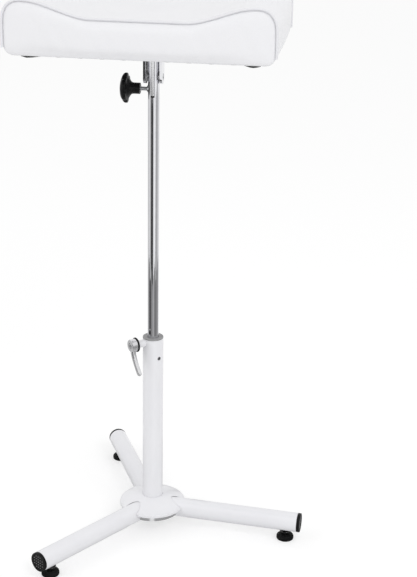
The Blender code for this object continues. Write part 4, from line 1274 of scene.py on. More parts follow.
        low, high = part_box(f"foot_nut_{number}")
        spot = middle(f"foot_nut_{number}")
        shelf = axis.spot.z - self.leg_radius - GAP
        hole = M8.radius + GAP
        corners = [
            (self.nut_radius, high.z, EASED), (self.nut_radius, shelf, 0.0), (self.nut_flange, shelf, CRISP),
            (self.nut_flange, low.z, EASED), (hole, low.z, CRISP), (hole, high.z, CRISP),
        ]
        axis = upright(Vector((spot.x, spot.y, 0.0)))
        mesh = turned(filleted(corners), axis, steps=48)
        self.piece(f"leg_insert_{number}", mesh, BLACKED_ZINC, f"foot_nut_{number}")

    def dots(self, axis: Axis, face: float) -> Mesh:
        """Makes the grid of raised dots on an end cap's face, in a grey that is painted glint.

        Args:
            axis: The leg's axis.
            face: Where the face lies along it.

        Returns:
            The dots' mesh.
        """
        room = self.leg_radius - self.end_rim - self.end_dish - self.dot_radius
        count = int(room / self.dot_spacing) + 1
        steps = [self.dot_spacing * index for index in range(-count, count + 1)]
        spots = [(x, y, 0.0) for x in steps for y in steps if hypot(x, y) <= room]
        turns = quarter(self.dot_steps)[:-1]
        points = [(self.dot_radius * sin(turn), self.dot_height * cos(turn), 1.0) for turn in turns]
        points += [(self.dot_radius, 0.0, 0.0), (0.0, -self.dot_root, 0.0)]
        unit = turned(points, upright(Vector()), steps=10)
        mesh = SetTree().grow(wired(spots, 0), self.maker.paint(GLINT_PAINTED_PLASTIC), unit, seed=SEED)
        mesh.transform(axis.matrix() @ Matrix.Translation((0.0, 0.0, face)))
        return mesh

    def build_foot(self, index: int) -> None:
        """Makes one grooved rubber pad and its black threaded stud with a chamfered collar.

        Args:
            index: Which leg it is under, from 0.
        """
        number = index + 1
        low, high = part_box(f"foot_stud_{number}")
        spot = middle(f"foot_pad_{number}")
        axis = upright(Vector((spot.x, spot.y, 0.0)))
        pad_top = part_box(f"foot_pad_{number}")[1].z
        bottom = pad_top + GAP
        top = bottom + self.collar_height
        point = self.collar_point * self.collar_flat
        corners = [
            (0.0, top, 0.0), (point, top, CRISP), (self.collar_radius, top - self.collar_chamfer, 0.0),
            (self.collar_radius, bottom + self.collar_chamfer, 0.0), (point, bottom, CRISP),
            (0.0, bottom, 0.0),
        ]
        collar = turned(filleted(corners), axis, shape=hexagon(self.collar_flat))
        stud = threaded(M8, low.z, high.z, axis)
        self.maker.piece(f"foot_screw_{number}", joined((collar, stud)), BLACK_STEEL,
                         Body.FOOT_STUD.value.format(number), f"foot_stud_{number}")

        socket = M8.radius + GAP
        seat = low.z - GAP
        points: list[Corner] = [(0.0, seat, 0.0), (socket, seat, 0.0)]
        for turn in quarter(self.pad_steps):
            points.append((socket + (self.pad_radius - socket) * sin(turn),
                           self.pad_edge + (pad_top - self.pad_edge) * cos(turn), 0.0 if turn else 1.0))
        points += [(self.pad_radius - inset, height, worn) for inset, height, worn in self.pad_skirt]
        points += [(radius - inset, depth, 0.0)
                   for radius in self.groove_radii for inset, depth in self.groove]
        mesh = turned([*points, (0.0, 0.0, 0.0)], axis)
        self.maker.piece(f"foot_glide_{number}", mesh, BLACK_RUBBER, Body.FOOT_PAD.value.format(number),
                         f"foot_pad_{number}")


@dataclass
class Column(Assembly):
    """The white column tube with its grey bush, grub screw and clamp boss."""

    body: Body = Body.STAND
    radius: float = 0.015
    wall: float = 0.0015
    stud_hole: float = 0.0036
    bush_run: float = 0.0083
    bush_flange: float = 0.0016
    bush_edge: float = 0.0008
    screw_radius: float = 0.0025
    screw_length: float = 0.0045
    screw_key: float = 0.0013
    key_floor: float = 0.0022
    boss_radius: float = 0.0054
    boss_bore: float = 0.0033
    boss_length: float = 0.012
    boss_fit: float = 0.0001
    saddle_height: float = 1.0
    clamp_turn: float = radians(220.0)
    screw_turn: float = radians(-43.0)

    @staticmethod
    def side_axis(node: str, turn: float) -> Axis:
        """Returns the level axis of a piece that is let into the column's side."""
        outward = Vector((cos(turn), sin(turn), 0.0))
        return Axis(on_axis(middle(node).z), outward, UP.cross(outward))

    def build(self) -> None:
        """Makes every piece of the column."""
        axis = upright(on_axis())
        clamp = self.side_axis("lever_boss", self.clamp_turn)
        screw = self.side_axis("bush_screw", self.screw_turn)
        bore = self.radius - self.wall
        far = 2.0 * self.radius
        low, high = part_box("column")
        mesh = turned(tube(self.radius, bore, low.z, high.z, ROUNDED), axis, steps=112)
        holes = [turned(rod(self.stud_hole, 0.0, far), clamp, steps=36),
                 turned(rod(self.screw_radius + GAP, 0.0, far), screw, steps=36)]
        self.piece("column_tube", carved(mesh, holes), WHITE_PAINT, "column")
        self.maker.dress(ZINC, "column_plug")

        low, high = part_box("top_bush")
        flange = high.z - self.bush_flange
        inside = bore - GAP
        corners = [
            (self.bush_run, high.z, SOFT), (self.radius, high.z, self.bush_edge),
            (self.radius, flange, CRISP), (inside, flange, 0.0), (inside, low.z, ROUNDED),
            (self.bush_run, low.z, ROUNDED),
        ]
        mesh = turned(filleted(corners), axis, steps=96)
        self.piece("guide_bush", carved(mesh, holes), GREY_NYLON, "top_bush")

        depth = self.radius - self.screw_length
        mesh = turned(rod(self.screw_radius, depth, self.radius, BROKEN), screw, steps=48)
        mesh = keyed(mesh, self.screw_key, depth + self.key_floor, far, screw)
        self.piece("grub_screw", mesh, GREY_PLASTIC, "bush_screw")

        end = self.radius + self.boss_length
        ring = tube(self.boss_radius, self.boss_bore, self.radius / 2.0, end, ROUNDED)
        mesh = turned(ring, clamp, steps=56)
        saddle = turned(rod(self.radius + self.boss_fit, 0.0, self.saddle_height), axis, steps=112)
        self.piece("clamp_boss", carved(mesh, [saddle]), WHITE_PAINT, "lever_boss")


@dataclass
class ClampLever(Assembly):
    """The cast lever on its ribbed ring, with the clamp stud and the screw that holds them."""

    body: Body = Body.LEVER
    ring_radius: float = 0.0107
    ring_length: float = 0.002
    rib_count: int = 30
    rib_radius: float = 0.0005
    rib_proud: float = 0.0003
    hub_radius: float = 0.0094
    hub_length: float = 0.0085
    hub_edge: float = 0.0016
    hub_cone: float = 0.0006
    screw_radius: float = 0.004
    screw_head: float = 0.0022
    screw_edge: float = 0.0007
    screw_key: float = 0.0019
    key_depth: float = 0.0015
    key_spare: float = 0.01
    shank_radius: float = 0.002
    shank_length: float = 0.002
    pad_length: float = 0.0032
    arm_start: float = 0.0060
    arm_length: float = 0.0455
    arm_root: float = 0.0092
    arm_waist: float = 0.0070
    arm_tip: float = 0.0080
    arm_thickness: float = 0.0064
    arm_thinning: float = 0.12
    arm_bow: float = 0.003
    arm_swing: float = radians(31.0)
    arm_stations: int = 22
    arm_sides: int = 28
    arm_square: float = 0.55
    waist_place: float = 0.45
    tip_place: float = 0.90
    tip_least: float = 0.02

    def build(self, column: Column) -> None:
        """Makes every piece of the lever.

        Args:
            column: The column that it clamps the pole in.
        """
        axis = column.side_axis("lever_boss", column.clamp_turn)
        ring_low = column.radius + column.boss_length + GAP
        hub_low = ring_low + self.ring_length + GAP
        hub_high = hub_low + self.hub_length
        sink = hub_high - self.screw_head
        bore = M6.radius + GAP
        section = tube(self.ring_radius - self.rib_proud, bore, ring_low, hub_low - GAP, EASED)
        ring = joined((turned(section, axis), self.ribs(axis, ring_low)))
        self.piece("ribbed_ring", ring, BLACK_PLASTIC, "lever_ring")

        head = self.screw_radius + GAP
        corners = [
            (head, hub_high, EASED), (self.hub_radius, hub_high, self.hub_edge),
            (self.hub_radius, hub_low, ROUNDED), (bore, hub_low, 0.0), (bore, sink - self.hub_cone, 0.0),
            (head, sink, 0.0),
        ]
        hub = turned(filleted(corners, steps=6), axis, steps=80)
        lever = carved(hub, [self.arm(axis, (hub_low + self.hub_length / 2.0 + sink) / 2.0)], Carving.JOIN)
        self.piece("cast_lever", lever, LEVER_METAL, "lever")

        seat = sink + GAP
        tip = sink - self.shank_length
        corners = [
            (0.0, hub_high, 0.0), (self.screw_radius, hub_high, self.screw_edge),
            (self.screw_radius, seat, 0.0), (self.shank_radius, seat, 0.0), (self.shank_radius, tip, 0.0),
            (0.0, tip, 0.0),
        ]
        screw = turned(filleted(corners), axis, steps=60)
        screw = keyed(screw, self.screw_key, hub_high - self.key_depth, hub_high + self.key_spare, axis)
        self.piece("hub_screw", screw, ZINC, "lever_screw")

        inner = column.bush_run + self.pad_length + GAP
        stud = threaded(M6, inner, hub_low + self.hub_length / 2.0, axis)
        self.piece("clamp_screw", stud, ZINC, "lever_stud")
        self.maker.dress(BRASS, "clamp_pad")

    def ribs(self, axis: Axis, low: float) -> Mesh:
        """Makes the grip ribs round the black ring.

        Args:
            axis: The lever's axis.
            low: Where the ring starts along it.

        Returns:
            The ribs' mesh.
        """
        bar = rod(self.rib_radius, CRISP, self.ring_length - CRISP, CRISP, steps=2)
        unit = turned(bar, upright(Vector()), steps=8)
        radius = self.ring_radius - self.rib_radius
        material = self.maker.paint(BLACK_PLASTIC)
        mesh = RingTree().grow(wired([], 0), material, unit, count=self.rib_count, radius=radius)
        mesh.transform(axis.matrix() @ Matrix.Translation((0.0, 0.0, low)))
        return mesh

    def arm_section(self, share: float) -> Corner:
        """Gives the arm's section, with its waist, fuller tip and rounded end.

        Args:
            share: How far out it lies, from 0 to 1.

        Returns:
            Its half width, half thickness and sideways lean.
        """
        narrowing = (self.arm_waist - self.arm_root) * portion(share, 0.0, self.waist_place) ** 0.7
        widening = (self.arm_tip - self.arm_waist) * portion(share, self.waist_place, 1.0) ** 1.4
        width = self.arm_root + narrowing + widening
        thickness = self.arm_thickness * (1.0 - self.arm_thinning * share)
        close = max(1.0 - portion(share, self.tip_place, 1.0) ** 2.4, self.tip_least) ** 0.5
        return width / 2.0 * close, thickness / 2.0 * close, self.arm_bow * sin(pi * share ** 0.7)

    def arm(self, axis: Axis, level: float) -> Mesh:
        """Makes the lever's arm as a loft of rounded sections.

        Args:
            axis: The lever's axis.
            level: Where the arm's middle lies along it.

        Returns:
            The arm's mesh.
        """
        build = bmesh.new()
        turns = [tau * step / self.arm_sides for step in range(self.arm_sides)]
        rings = []
        for index in range(self.arm_stations + 1):
            share = index / self.arm_stations
            reach = self.arm_start + (self.arm_length - self.arm_start) * share
            width, rise, lean = self.arm_section(share)
            ring = []
            for turn in turns:
                across = width * copysign(abs(cos(turn)) ** self.arm_square, cos(turn))
                height = rise * copysign(abs(sin(turn)) ** self.arm_square, sin(turn))
                ring.append(build.verts.new((reach, across - lean, level + height)))
            rings.append(ring)
        for first, second in zip(rings, rings[1:]):
            for step in range(self.arm_sides):
                after = (step + 1) % self.arm_sides
                build.faces.new((first[step], first[after], second[after], second[step]))
        build.faces.new(rings[0])
        build.faces.new(rings[-1])
        return meshed(build, axis.matrix() @ Matrix.Rotation(self.arm_swing - QUARTER, 4, "Z"))


# Pole, tilt lock and tilt joint


@dataclass
class Pole(Assembly):
    """The chrome pole with its slotted head and the insert for the tilt lock."""

    body: Body = Body.POLE
    radius: float = 0.008
    wall: float = 0.0015
    slot_width: float = 0.0052
    slot_depth: float = 0.0278
    slot_tool: float = 0.1
    pin_hole: float = 0.0043
    insert_radius: float = 0.0047
    insert_bore: float = 0.0033
    insert_start: float = 0.0032
    insert_proud: float = 0.0006

    def build(self) -> None:
        """Makes the pole and its insert."""
        low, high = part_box("pole")
        pivot = middle("pivot_pin")
        lock = Axis(on_axis(middle("knob_stud").z), -EAST, UP)
        far = 2.0 * self.radius
        half = self.slot_width / 2.0
        section = tube(self.radius, self.radius - self.wall, low.z, high.z, ROUNDED)
        mesh = turned(section, upright(on_axis()), steps=112)
        rise = Matrix.Translation(on_axis(pivot.z - self.slot_depth + self.slot_tool / 2.0))
        tools = [
            slab([[(-half, -far), (half, -far), (half, far), (-half, far)]], self.slot_tool, rise),
            turned(rod(self.pin_hole, -far, far), Axis(pivot, EAST, UP), steps=40),
            turned(rod(self.insert_radius + GAP, 0.0, far), lock, steps=40),
        ]
        self.piece("chrome_pole", carved(mesh, tools), CHROME, "pole")
        end = self.radius + self.insert_proud
        ring = tube(self.insert_radius, self.insert_bore, self.insert_start, end, EASED)
        self.piece("lock_insert", turned(ring, lock, steps=48), ZINC, "knob_insert")
        for finish, node in ((BLACK_PLASTIC, "pole_plug"), (GREY_NYLON, "lower_glide"), (ZINC, "glide_clip")):
            self.maker.dress(finish, node)


@dataclass
class TiltKnob(Assembly):
    """The black star knob on its threaded stud. The dimple is given as radius and depth."""

    body: Body = Body.KNOB
    standoff: float = 0.0103
    boss_radius: float = 0.0076
    boss_length: float = 0.0168
    boss_edge: float = 0.0008
    radius: float = 0.0205
    lobes: int = 6
    lobe_depth: float = 0.0034
    lobe_start: float = 0.9
    thickness: float = 0.0065
    rim_high: float = 0.42
    rim_low: float = 0.06
    rim_edge: float = 0.0024
    dome_height: float = 0.0042
    dome_steps: int = 16
    dimple: tuple[Flat, ...] = ((0.0, 0.0005), (0.0034, 0.0005), (0.0040, 0.0001))
    cone_radius: float = 0.0135
    cone_length: float = 0.005
    cone_spread: float = 0.0020
    cone_edge: float = 0.0015
    cone_root: float = 0.0030
    crease: float = 40.0
    stud_grip: float = 0.0182
    tip_length: float = 0.0049

    def lobed(self, angle: float, radius: float, height: float) -> Flat:
        """Returns a point of the knob, drawn in between its lobes."""
        share = portion(radius, self.cone_radius * self.lobe_start, self.radius)
        return radius - self.lobe_depth * ((1.0 - cos(self.lobes * angle)) / 2.0) ** 2 * share, height

    def build(self) -> None:
        """Makes the knob and its stud."""
        axis = Axis(on_axis(middle("knob_stud").z), -EAST, UP)
        face = Pole.radius + self.standoff
        star = face + self.boss_length
        top = star + self.thickness
        crest = top + self.dome_height
        half = self.thickness / 2.0
        stud_end = face + self.stud_grip
        bore = M6.radius + GAP
        points = [(radius, crest - depth, 0.0) for radius, depth in self.dimple]
        for turn in quarter(self.dome_steps)[len(self.dimple):-2]:
            points.append((self.radius * sin(turn), top - half + (half + self.dome_height) * cos(turn), 0.0))
        corners = [
            points[-1], (self.radius, top - self.rim_high * self.thickness, self.rim_edge),
            (self.radius, star + self.rim_low * self.thickness, self.rim_edge),
            (self.cone_radius + self.cone_spread, star, self.cone_edge),
            (self.boss_radius, star - self.cone_length, self.cone_root),
            (self.boss_radius, face, self.boss_edge), (bore, face, CRISP), (bore, stud_end + GAP, 0.0),
            (0.0, stud_end + GAP, 0.0),
        ]
        mesh = turned(points + filleted(corners)[1:], axis, steps=144, shape=self.lobed)
        self.piece("lobed_knob", smooth(mesh, self.crease), BLACK_PLASTIC, "star_knob")
        stud = threaded(M6, self.tip_length, stud_end, axis)
        self.piece("lock_screw", stud, ZINC, "knob_stud")
        self.maker.dress(BRASS, "knob_tip")


@dataclass
class TiltJoint(Assembly):
    """The bent fork with its pin and spacers, the tongue, and the plate under the cushion."""

    body: Body = Body.REST
    space: float = 0.0190
    ear_thickness: float = 0.0035
    ear_depth: float = 0.020
    ear_taper: float = 0.14
    ear_crease: float = 7.0
    bend: float = 0.0055
    bend_steps: int = 16
    pin_radius: float = 0.004
    pin_dimple: float = 0.0012
    pin_dimple_rim: float = 0.0016
    pin_dimple_depth: float = 0.0005
    spacer_radius: float = 0.007
    screw_radius: float = 0.0022
    screw_point: float = 0.0027
    screw_count: int = 4
    head_radius: float = 0.0042
    head_height: float = 0.0024
    head_steps: int = 8
    cross_reach: float = 0.0026
    cross_half: float = 0.00045
    cross_depth: float = 0.0030
    pivot: Vector = field(default_factory=lambda: middle("pivot_pin"))

    def build(self) -> None:
        """Makes every piece of the joint."""
        self.build_fork()
        self.build_pin()
        self.build_tongue()
        self.maker.dress(ZINC, "mounting_plate")
        self.maker.dress(PLYWOOD, "board")
        self.build_screws()

    def sideways(self) -> Matrix:
        """Returns the place at the pivot of a plate that lies across the pin."""
        turn = Matrix.Rotation(QUARTER, 4, "Z") @ Matrix.Rotation(QUARTER, 4, "X")
        return Matrix.Translation(self.pivot) @ turn

    def build_pin(self) -> None:
        """Makes the dimpled pin and the pale washers on both sides of the pole."""
        axis = Axis(self.pivot, EAST, UP)
        low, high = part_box("pivot_pin")
        half = (high.x - low.x) / 2.0
        floor = half - self.pin_dimple_depth
        end = [(0.0, floor, 0.0), (self.pin_dimple, floor, 0.0), (self.pin_dimple_rim, half, 0.0),
               (self.pin_radius, half, SOFT)]
        corners = end + [(radius, -height, rounding) for radius, height, rounding in reversed(end)]
        self.piece("hinge_pin", turned(filleted(corners), axis, steps=48), ZINC, "pivot_pin")
        for side in ("left", "right"):
            low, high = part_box(f"spacer_{side}")
            ring = tube(self.spacer_radius, Pole.pin_hole, low.x - self.pivot.x, high.x - self.pivot.x, CRISP)
            mesh = turned(ring, axis, steps=48)
            self.piece(f"hinge_washer_{side}", mesh, PALE_NYLON, f"spacer_{side}")

    def build_fork(self) -> None:
        """Makes the fork as a bent strap with round ears."""
        half = self.space / 2.0
        wide = half + self.ear_thickness
        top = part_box("fork")[1].z - self.pivot.z
        web = top - self.ear_thickness
        edge = self.ear_depth / 2.0
        inner = self.bend - self.ear_thickness
        steps = self.bend_steps
        outline = [
            (-wide, -edge), *arc((self.bend - wide, top - self.bend), self.bend, pi, QUARTER, steps),
            *arc((wide - self.bend, top - self.bend), self.bend, QUARTER, 0.0, steps), (wide, -edge),
            (half, -edge), *arc((half - inner, web - inner), inner, 0.0, QUARTER, steps),
            *arc((inner - half, web - inner), inner, QUARTER, pi, steps), (-half, -edge),
        ]
        stand = Matrix.Translation(self.pivot) @ Matrix.Rotation(QUARTER, 4, "X")
        mesh = slab([outline], self.ear_depth, stand, BROKEN)
        far = edge + GAP
        ears = [*arc((0.0, 0.0), edge, pi, tau, 2 * steps), (far, 0.0), (far, top + GAP),
                (-far, top + GAP), (-far, 0.0)]
        keep = slab([ears], 4.0 * wide, self.sideways())
        hole = turned(rod(Pole.pin_hole, -2.0 * wide, 2.0 * wide), Axis(self.pivot, EAST, UP), steps=64)
        mesh = carved(carved(mesh, [keep], Carving.KEEP), [hole, *self.tapers(half, wide)])
        self.piece("bent_fork", smooth(mesh, self.ear_crease), CHROME, "fork")

    def build_tongue(self) -> None:
        """Makes the blade that swings in the pole's slot."""
        low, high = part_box("tongue")
        side = (high.y - low.y) / 2.0
        top = high.z - self.pivot.z
        reach = self.pivot.z - low.z
        swing = asin(side / reach)
        blade = [*arc((0.0, 0.0), reach, -QUARTER - swing, -QUARTER + swing, 14), (side, top), (-side, top)]
        hole = arc((0.0, 0.0), Pole.pin_hole, 0.0, tau, 40)[:-1]
        mesh = slab([blade, hole], high.x - low.x, self.sideways(), BROKEN)
        self.piece("tilt_blade", mesh, BRIGHT_ZINC, "tongue")

    def tapers(self, half: float, wide: float) -> list[Mesh]:
        """Makes the wedges that ease the ears' front and rear faces back towards their outer sides.

        Args:
            half: Half the space between the ears.
            wide: Half the width over them.

        Returns:
            The four wedges.
        """
        wedges = []
        edge = self.ear_depth / 2.0
        near = half - self.ear_thickness / 3.0
        far = 2.0 * wide - half
        for side in (-1.0, 1.0):
            for end in (-1.0, 1.0):
                outline = [(side * reach, end * (edge - (reach - half) * self.ear_taper))
                           for reach in (near, far)]
                outline += [(side * far, end * 2.0 * edge), (side * near, end * 2.0 * edge)]
                wedges.append(slab([outline], 8.0 * edge, Matrix.Translation(self.pivot)))
        return wedges

    def build_screws(self) -> None:
        """Makes the four wood screws with cross recesses as one set."""
        names = [f"wood_screw_{number + 1}" for number in range(self.screw_count)]
        low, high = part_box(names[0])
        head = low.z + self.head_height
        length = high.z - head
        points = [(0.0, length, 0.0), (self.screw_radius, length - self.screw_point, 0.0),
                  (self.screw_radius, 0.0, 0.0)]
        for turn in quarter(self.head_steps)[:-1]:
            points.append((self.head_radius * cos(turn), -self.head_height * sin(turn), 0.0))
        screw = turned([*points, (0.0, -self.head_height, 0.0)], upright(Vector()), steps=36)
        bar = [(-self.cross_reach, -self.cross_half), (self.cross_reach, -self.cross_half),
               (self.cross_reach, self.cross_half), (-self.cross_reach, self.cross_half)]
        drop = Matrix.Translation((0.0, 0.0, -self.head_height))
        cross = [slab([bar], self.cross_depth, drop @ Matrix.Rotation(turn, 4, "Z"))
                 for turn in (0.0, QUARTER)]
        spots = [middle(name) for name in names]
        base = wired([(spot.x, spot.y, head) for spot in spots], 0)
        mesh = SetTree().grow(base, self.maker.paint(ZINC), carved(screw, cross), seed=SEED)
        self.piece("wood_screws", mesh, ZINC, *names)


# Upholstery


@dataclass
class Upholstery(Assembly):
    """The saddle cushion with its piping and stitches."""

    body: Body = Body.REST
    width: float = 0.350
    depth: float = 0.235
    lobe_height: float = 0.0715
    trough_height: float = 0.051
    trough_half: float = 0.060
    shoulder_width: float = 0.027
    shoulder_drop: float = 0.032
    shoulder_power: float = 2.5
    bottom_corner: float = 0.014
    bottom_steps: int = 30
    corner_steps: int = 12
    shoulder_steps: int = 48
    saddle_steps: int = 60
    across_steps: int = 64
    side_steps: int = 10
    depth_steps: int = 44
    draw_in: float = 0.025
    swell_limit: float = 0.012
    fullness: float = 0.0006
    slide_limit: float = 0.0015
    sewn_height: float = 0.0012
    pressure: float = 4.0
    frames: int = 20
    crease: float = 75.0
    tuck_depth: float = 0.00045
    tuck_fade: float = 0.009
    tuck_slant: float = 0.6
    tuck_rate: float = 410.0
    wander: float = 2.3
    wander_rate: float = 97.0
    rear_shift: float = 1.7
    seam_inset: float = 0.0014
    seam_steps: int = 240
    welt_inset: float = 0.0004
    welt_radius: float = 0.0017
    welt_end: float = 0.010
    welt_spacing: float = 0.0025
    welt_unevenness: float = 0.16
    stitch_place: float = 0.0042
    stitch_lift: float = 0.00005
    stitch_length: float = 0.0034
    stitch_radius: float = 0.00028
    stitch_spacing: float = 0.0048
    stitch_sway: float = 0.10
    stitch_steps: int = 6
    origin: Vector = field(default_factory=lambda: on_axis(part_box("cushion")[0].z))

    def build(self) -> None:
        """Makes every piece of the upholstery."""
        cushion = self.build_cushion()
        surface = BVHTree.FromObject(cushion, bpy.context.evaluated_depsgraph_get())
        for label, sign in (("front", -1.0), ("rear", 1.0)):
            self.build_piping(label, sign)
            self.build_stitches(label, sign, surface)

    def saddle(self, x: float) -> float:
        """Returns the saddle's height at a distance from the middle, up to the lobes' peaks."""
        share = portion(abs(x), self.trough_half, self.width / 2.0 - self.shoulder_width)
        return self.trough_height + (self.lobe_height - self.trough_height) * share ** 2 * (3.0 - 2.0 * share)

    def half_outline(self, inset: float) -> tuple[list[Vector], list[Vector], list[Vector]]:
        """Makes the right half of the end panel's outline in three runs.

        Args:
            inset: How far to draw it in above the lower edge.

        Returns:
            The lower run, the side and the upper run, as (x, height) vectors.
        """
        side = self.width / 2.0
        flat = side - self.bottom_corner
        peak = side - self.shoulder_width
        shoulder = self.lobe_height - self.shoulder_drop
        power = 2.0 / self.shoulder_power
        points = [Vector((flat * index / self.bottom_steps, 0.0)) for index in range(self.bottom_steps)]
        corner = arc((flat, self.bottom_corner), self.bottom_corner, -QUARTER, 0.0, self.corner_steps)
        points += [Vector(spot) for spot in corner]
        low = len(points) - 1 - self.corner_steps // 2
        for turn in quarter(self.shoulder_steps):
            points.append(Vector((peak + self.shoulder_width * cos(turn) ** power,
                                  shoulder + self.shoulder_drop * sin(turn) ** power)))
        high = len(points) - 1 - self.shoulder_steps // 2
        for index in range(1, self.saddle_steps + 1):
            x = peak * (1.0 - index / self.saddle_steps)
            points.append(Vector((x, self.saddle(x))))
        moved = []
        for index, point in enumerate(points):
            before = points[max(index - 1, 0)]
            after = points[min(index + 1, len(points) - 1)]
            tangent = (after - before).normalized()
            grip = min(point.y / self.draw_in, 1.0)
            moved.append(point - Vector((tangent.y, -tangent.x)) * inset * grip)
        return moved[:low + 1], moved[low:high + 1], moved[high:]

    def rim(self, inset: float) -> list[Vector]:
        """Makes the closed outline of an end panel.

        Args:
            inset: How far it is drawn in.

        Returns:
            Its points from the lower left corner, anticlockwise.
        """
        half = self.across_steps // 2
        low, side, top = self.half_outline(inset)
        right = resampled(low, half) + resampled(side, self.side_steps)[1:] + resampled(top, half)[1:]
        loop = right + [Vector((-point.x, point.y)) for point in reversed(right[1:-1])]
        return loop[-half:] + loop[:-half]

    def cover_mesh(self) -> tuple[Mesh, list[float]]:
        """Makes the cover before it is filled.

        Returns:
            Its mesh and each point's hold, 1 where it is sewn or stapled.
        """
        rim = self.rim(self.seam_inset)
        reach = self.depth / 2.0 - self.seam_inset
        verts: list[Corner] = []
        hold: list[float] = []
        faces: list[Face] = []
        count = len(rim)
        for station in range(self.depth_steps + 1):
            share = 2.0 * station / self.depth_steps - 1.0
            for point in rim:
                verts.append((point.x, reach * share, point.y))
                sewn = station in (0, self.depth_steps) or point.y < self.sewn_height
                hold.append(1.0 if sewn else 0.0)
        for station in range(self.depth_steps):
            low = station * count
            high = low + count
            for index in range(count):
                after = (index + 1) % count
                faces.append((low + index, high + index, high + after, low + after))
        for sign in (-1.0, 1.0):
            self.add_panel(rim, sign, reach, verts, hold, faces)
        mesh = bpy.data.meshes.new("cover")
        mesh.from_pydata(verts, [], faces)
        mesh.transform(Matrix.Translation(self.origin))
        return mesh, hold

    def add_panel(self, rim: Sequence[Vector], sign: float, reach: float, verts: list[Corner],
                  hold: list[float], faces: list[Face]) -> None:
        """Adds one end panel's points and faces to the cover, blended between its four sides.

        Args:
            rim: The panel's outline.
            sign: Its side, -1 for the front.
            reach: Its distance from the middle.
            verts: The cover's points.
            hold: Each point's hold.
            faces: The cover's faces.
        """
        across = self.across_steps
        up = self.side_steps
        start = 0 if sign < 0.0 else self.depth_steps * len(rim)
        edge: dict[tuple[int, int], int] = {}
        for column in range(across + 1):
            edge[0, column] = column
            edge[up, column] = 2 * across + up - column
        for row in range(1, up):
            edge[row, 0] = len(rim) - row
            edge[row, across] = across + row
        side = {place: rim[number] for place, number in edge.items()}
        index = {place: start + number for place, number in edge.items()}
        for row in range(1, up):
            v = row / up
            for column in range(1, across):
                u = column / across
                low = side[0, 0].lerp(side[0, across], u)
                corner = low.lerp(side[up, 0].lerp(side[up, across], u), v)
                rise = side[0, column].lerp(side[up, column], v)
                point = rise + side[row, 0].lerp(side[row, across], u) - corner
                index[row, column] = len(verts)
                verts.append((point.x, sign * reach, point.y))
                hold.append(0.0)
        for row in range(up):
            for column in range(across):
                lower = (index[row, column], index[row, column + 1])
                face = (*lower, index[row + 1, column + 1], index[row + 1, column])
                faces.append(face if sign < 0.0 else face[::-1])

    def filled(self, mesh: Mesh, hold: Sequence[float]) -> list[Vector]:
        """Blows the cover up as cloth over its filling.

        Args:
            mesh: The cover before it is filled.
            hold: Each point's hold.

        Returns:
            Where the cloth's points end.
        """
        item = linked(bpy.data.objects.new("cover", mesh))
        group = item.vertex_groups.new(name="sewn")
        group.add([index for index, value in enumerate(hold) if value], 1.0, "REPLACE")
        cloth = item.modifiers.new("cloth", "CLOTH")
        settings = cloth.settings
        settings.use_pressure = True
        settings.uniform_pressure_force = self.pressure
        settings.vertex_group_mass = group.name
        stiffness = {"tension": 18.0, "compression": 12.0, "shear": 8.0, "bending": 0.6}
        for way, value in stiffness.items():
            setattr(settings, f"{way}_stiffness", value)
        settings.effector_weights.gravity = 0.0
        cloth.collision_settings.use_collision = False
        cloth.point_cache.frame_start = 1
        cloth.point_cache.frame_end = self.frames
        scene = bpy.context.scene
        for number in range(1, self.frames + 1):
            scene.frame_set(number)
        seen = item.evaluated_get(bpy.context.evaluated_depsgraph_get())
        spots = [vert.co.copy() for vert in seen.data.vertices]
        scene.frame_set(1)
        item.modifiers.remove(cloth)
        bpy.data.objects.remove(item, do_unlink=True)
        return spots

    def swell(self, spots: Sequence[Vector], normals: Sequence[Vector]) -> list[float]:
        """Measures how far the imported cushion's surface lies outside the cover.

        Args:
            spots: The cover's points.
            normals: Which way each faces.

        Returns:
            The distance from each point along its normal.
        """
        solid = frame["nodes"]["cushion"]
        tree = BVHTree.FromObject(solid, bpy.context.evaluated_depsgraph_get())
        hits = [tree.ray_cast(spot, normal, self.swell_limit) for spot, normal in zip(spots, normals)]
        return [hit[3] or 0.0 for hit in hits]

    def pulled(self, spot: Vector) -> float:
        """Tells how far the sewing draws the cover in near a seam, in small uneven tucks.

        Args:
            spot: A place on the cover.

        Returns:
            The distance.
        """
        x, y, z = spot - self.origin
        away = self.depth / 2.0 - abs(y)
        along = x + z * self.tuck_slant
        phase = along * self.tuck_rate + self.wander * sin(along * self.wander_rate)
        tuck = 0.5 + 0.5 * sin(phase + (0.0 if y < 0.0 else self.rear_shift))
        return self.tuck_depth * tuck * exp(-max(away, 0.0) / self.tuck_fade)

    def build_cushion(self) -> Item:
        """Makes the filled cushion.

        Returns:
            Its piece.
        """
        mesh, hold = self.cover_mesh()
        mesh.update()
        normals = [normal.vector.copy() for normal in mesh.vertex_normals]
        rest = [vert.co.copy() for vert in mesh.vertices]
        swell = self.swell(rest, normals)
        spots = self.filled(mesh.copy(), hold)
        for index, vert in enumerate(mesh.vertices):
            normal = normals[index]
            drift = spots[index] - rest[index]
            lift = min(max(drift.dot(normal), swell[index]), swell[index] + self.fullness)
            slide = drift - normal * drift.dot(normal)
            if slide.length > self.slide_limit:
                slide *= self.slide_limit / slide.length
            free = 1.0 - hold[index]
            vert.co = rest[index] + (normal * (lift - self.pulled(rest[index])) + slide) * free
        item = linked(bpy.data.objects.new("soft", mesh))
        round_off = item.modifiers.new("round", "SUBSURF")
        round_off.levels = 1
        round_off.render_levels = 1
        mesh = smooth(settled(item), self.crease)
        piece = self.piece("saddle_cushion", mesh, PADDED_VINYL, "cushion")
        return piece

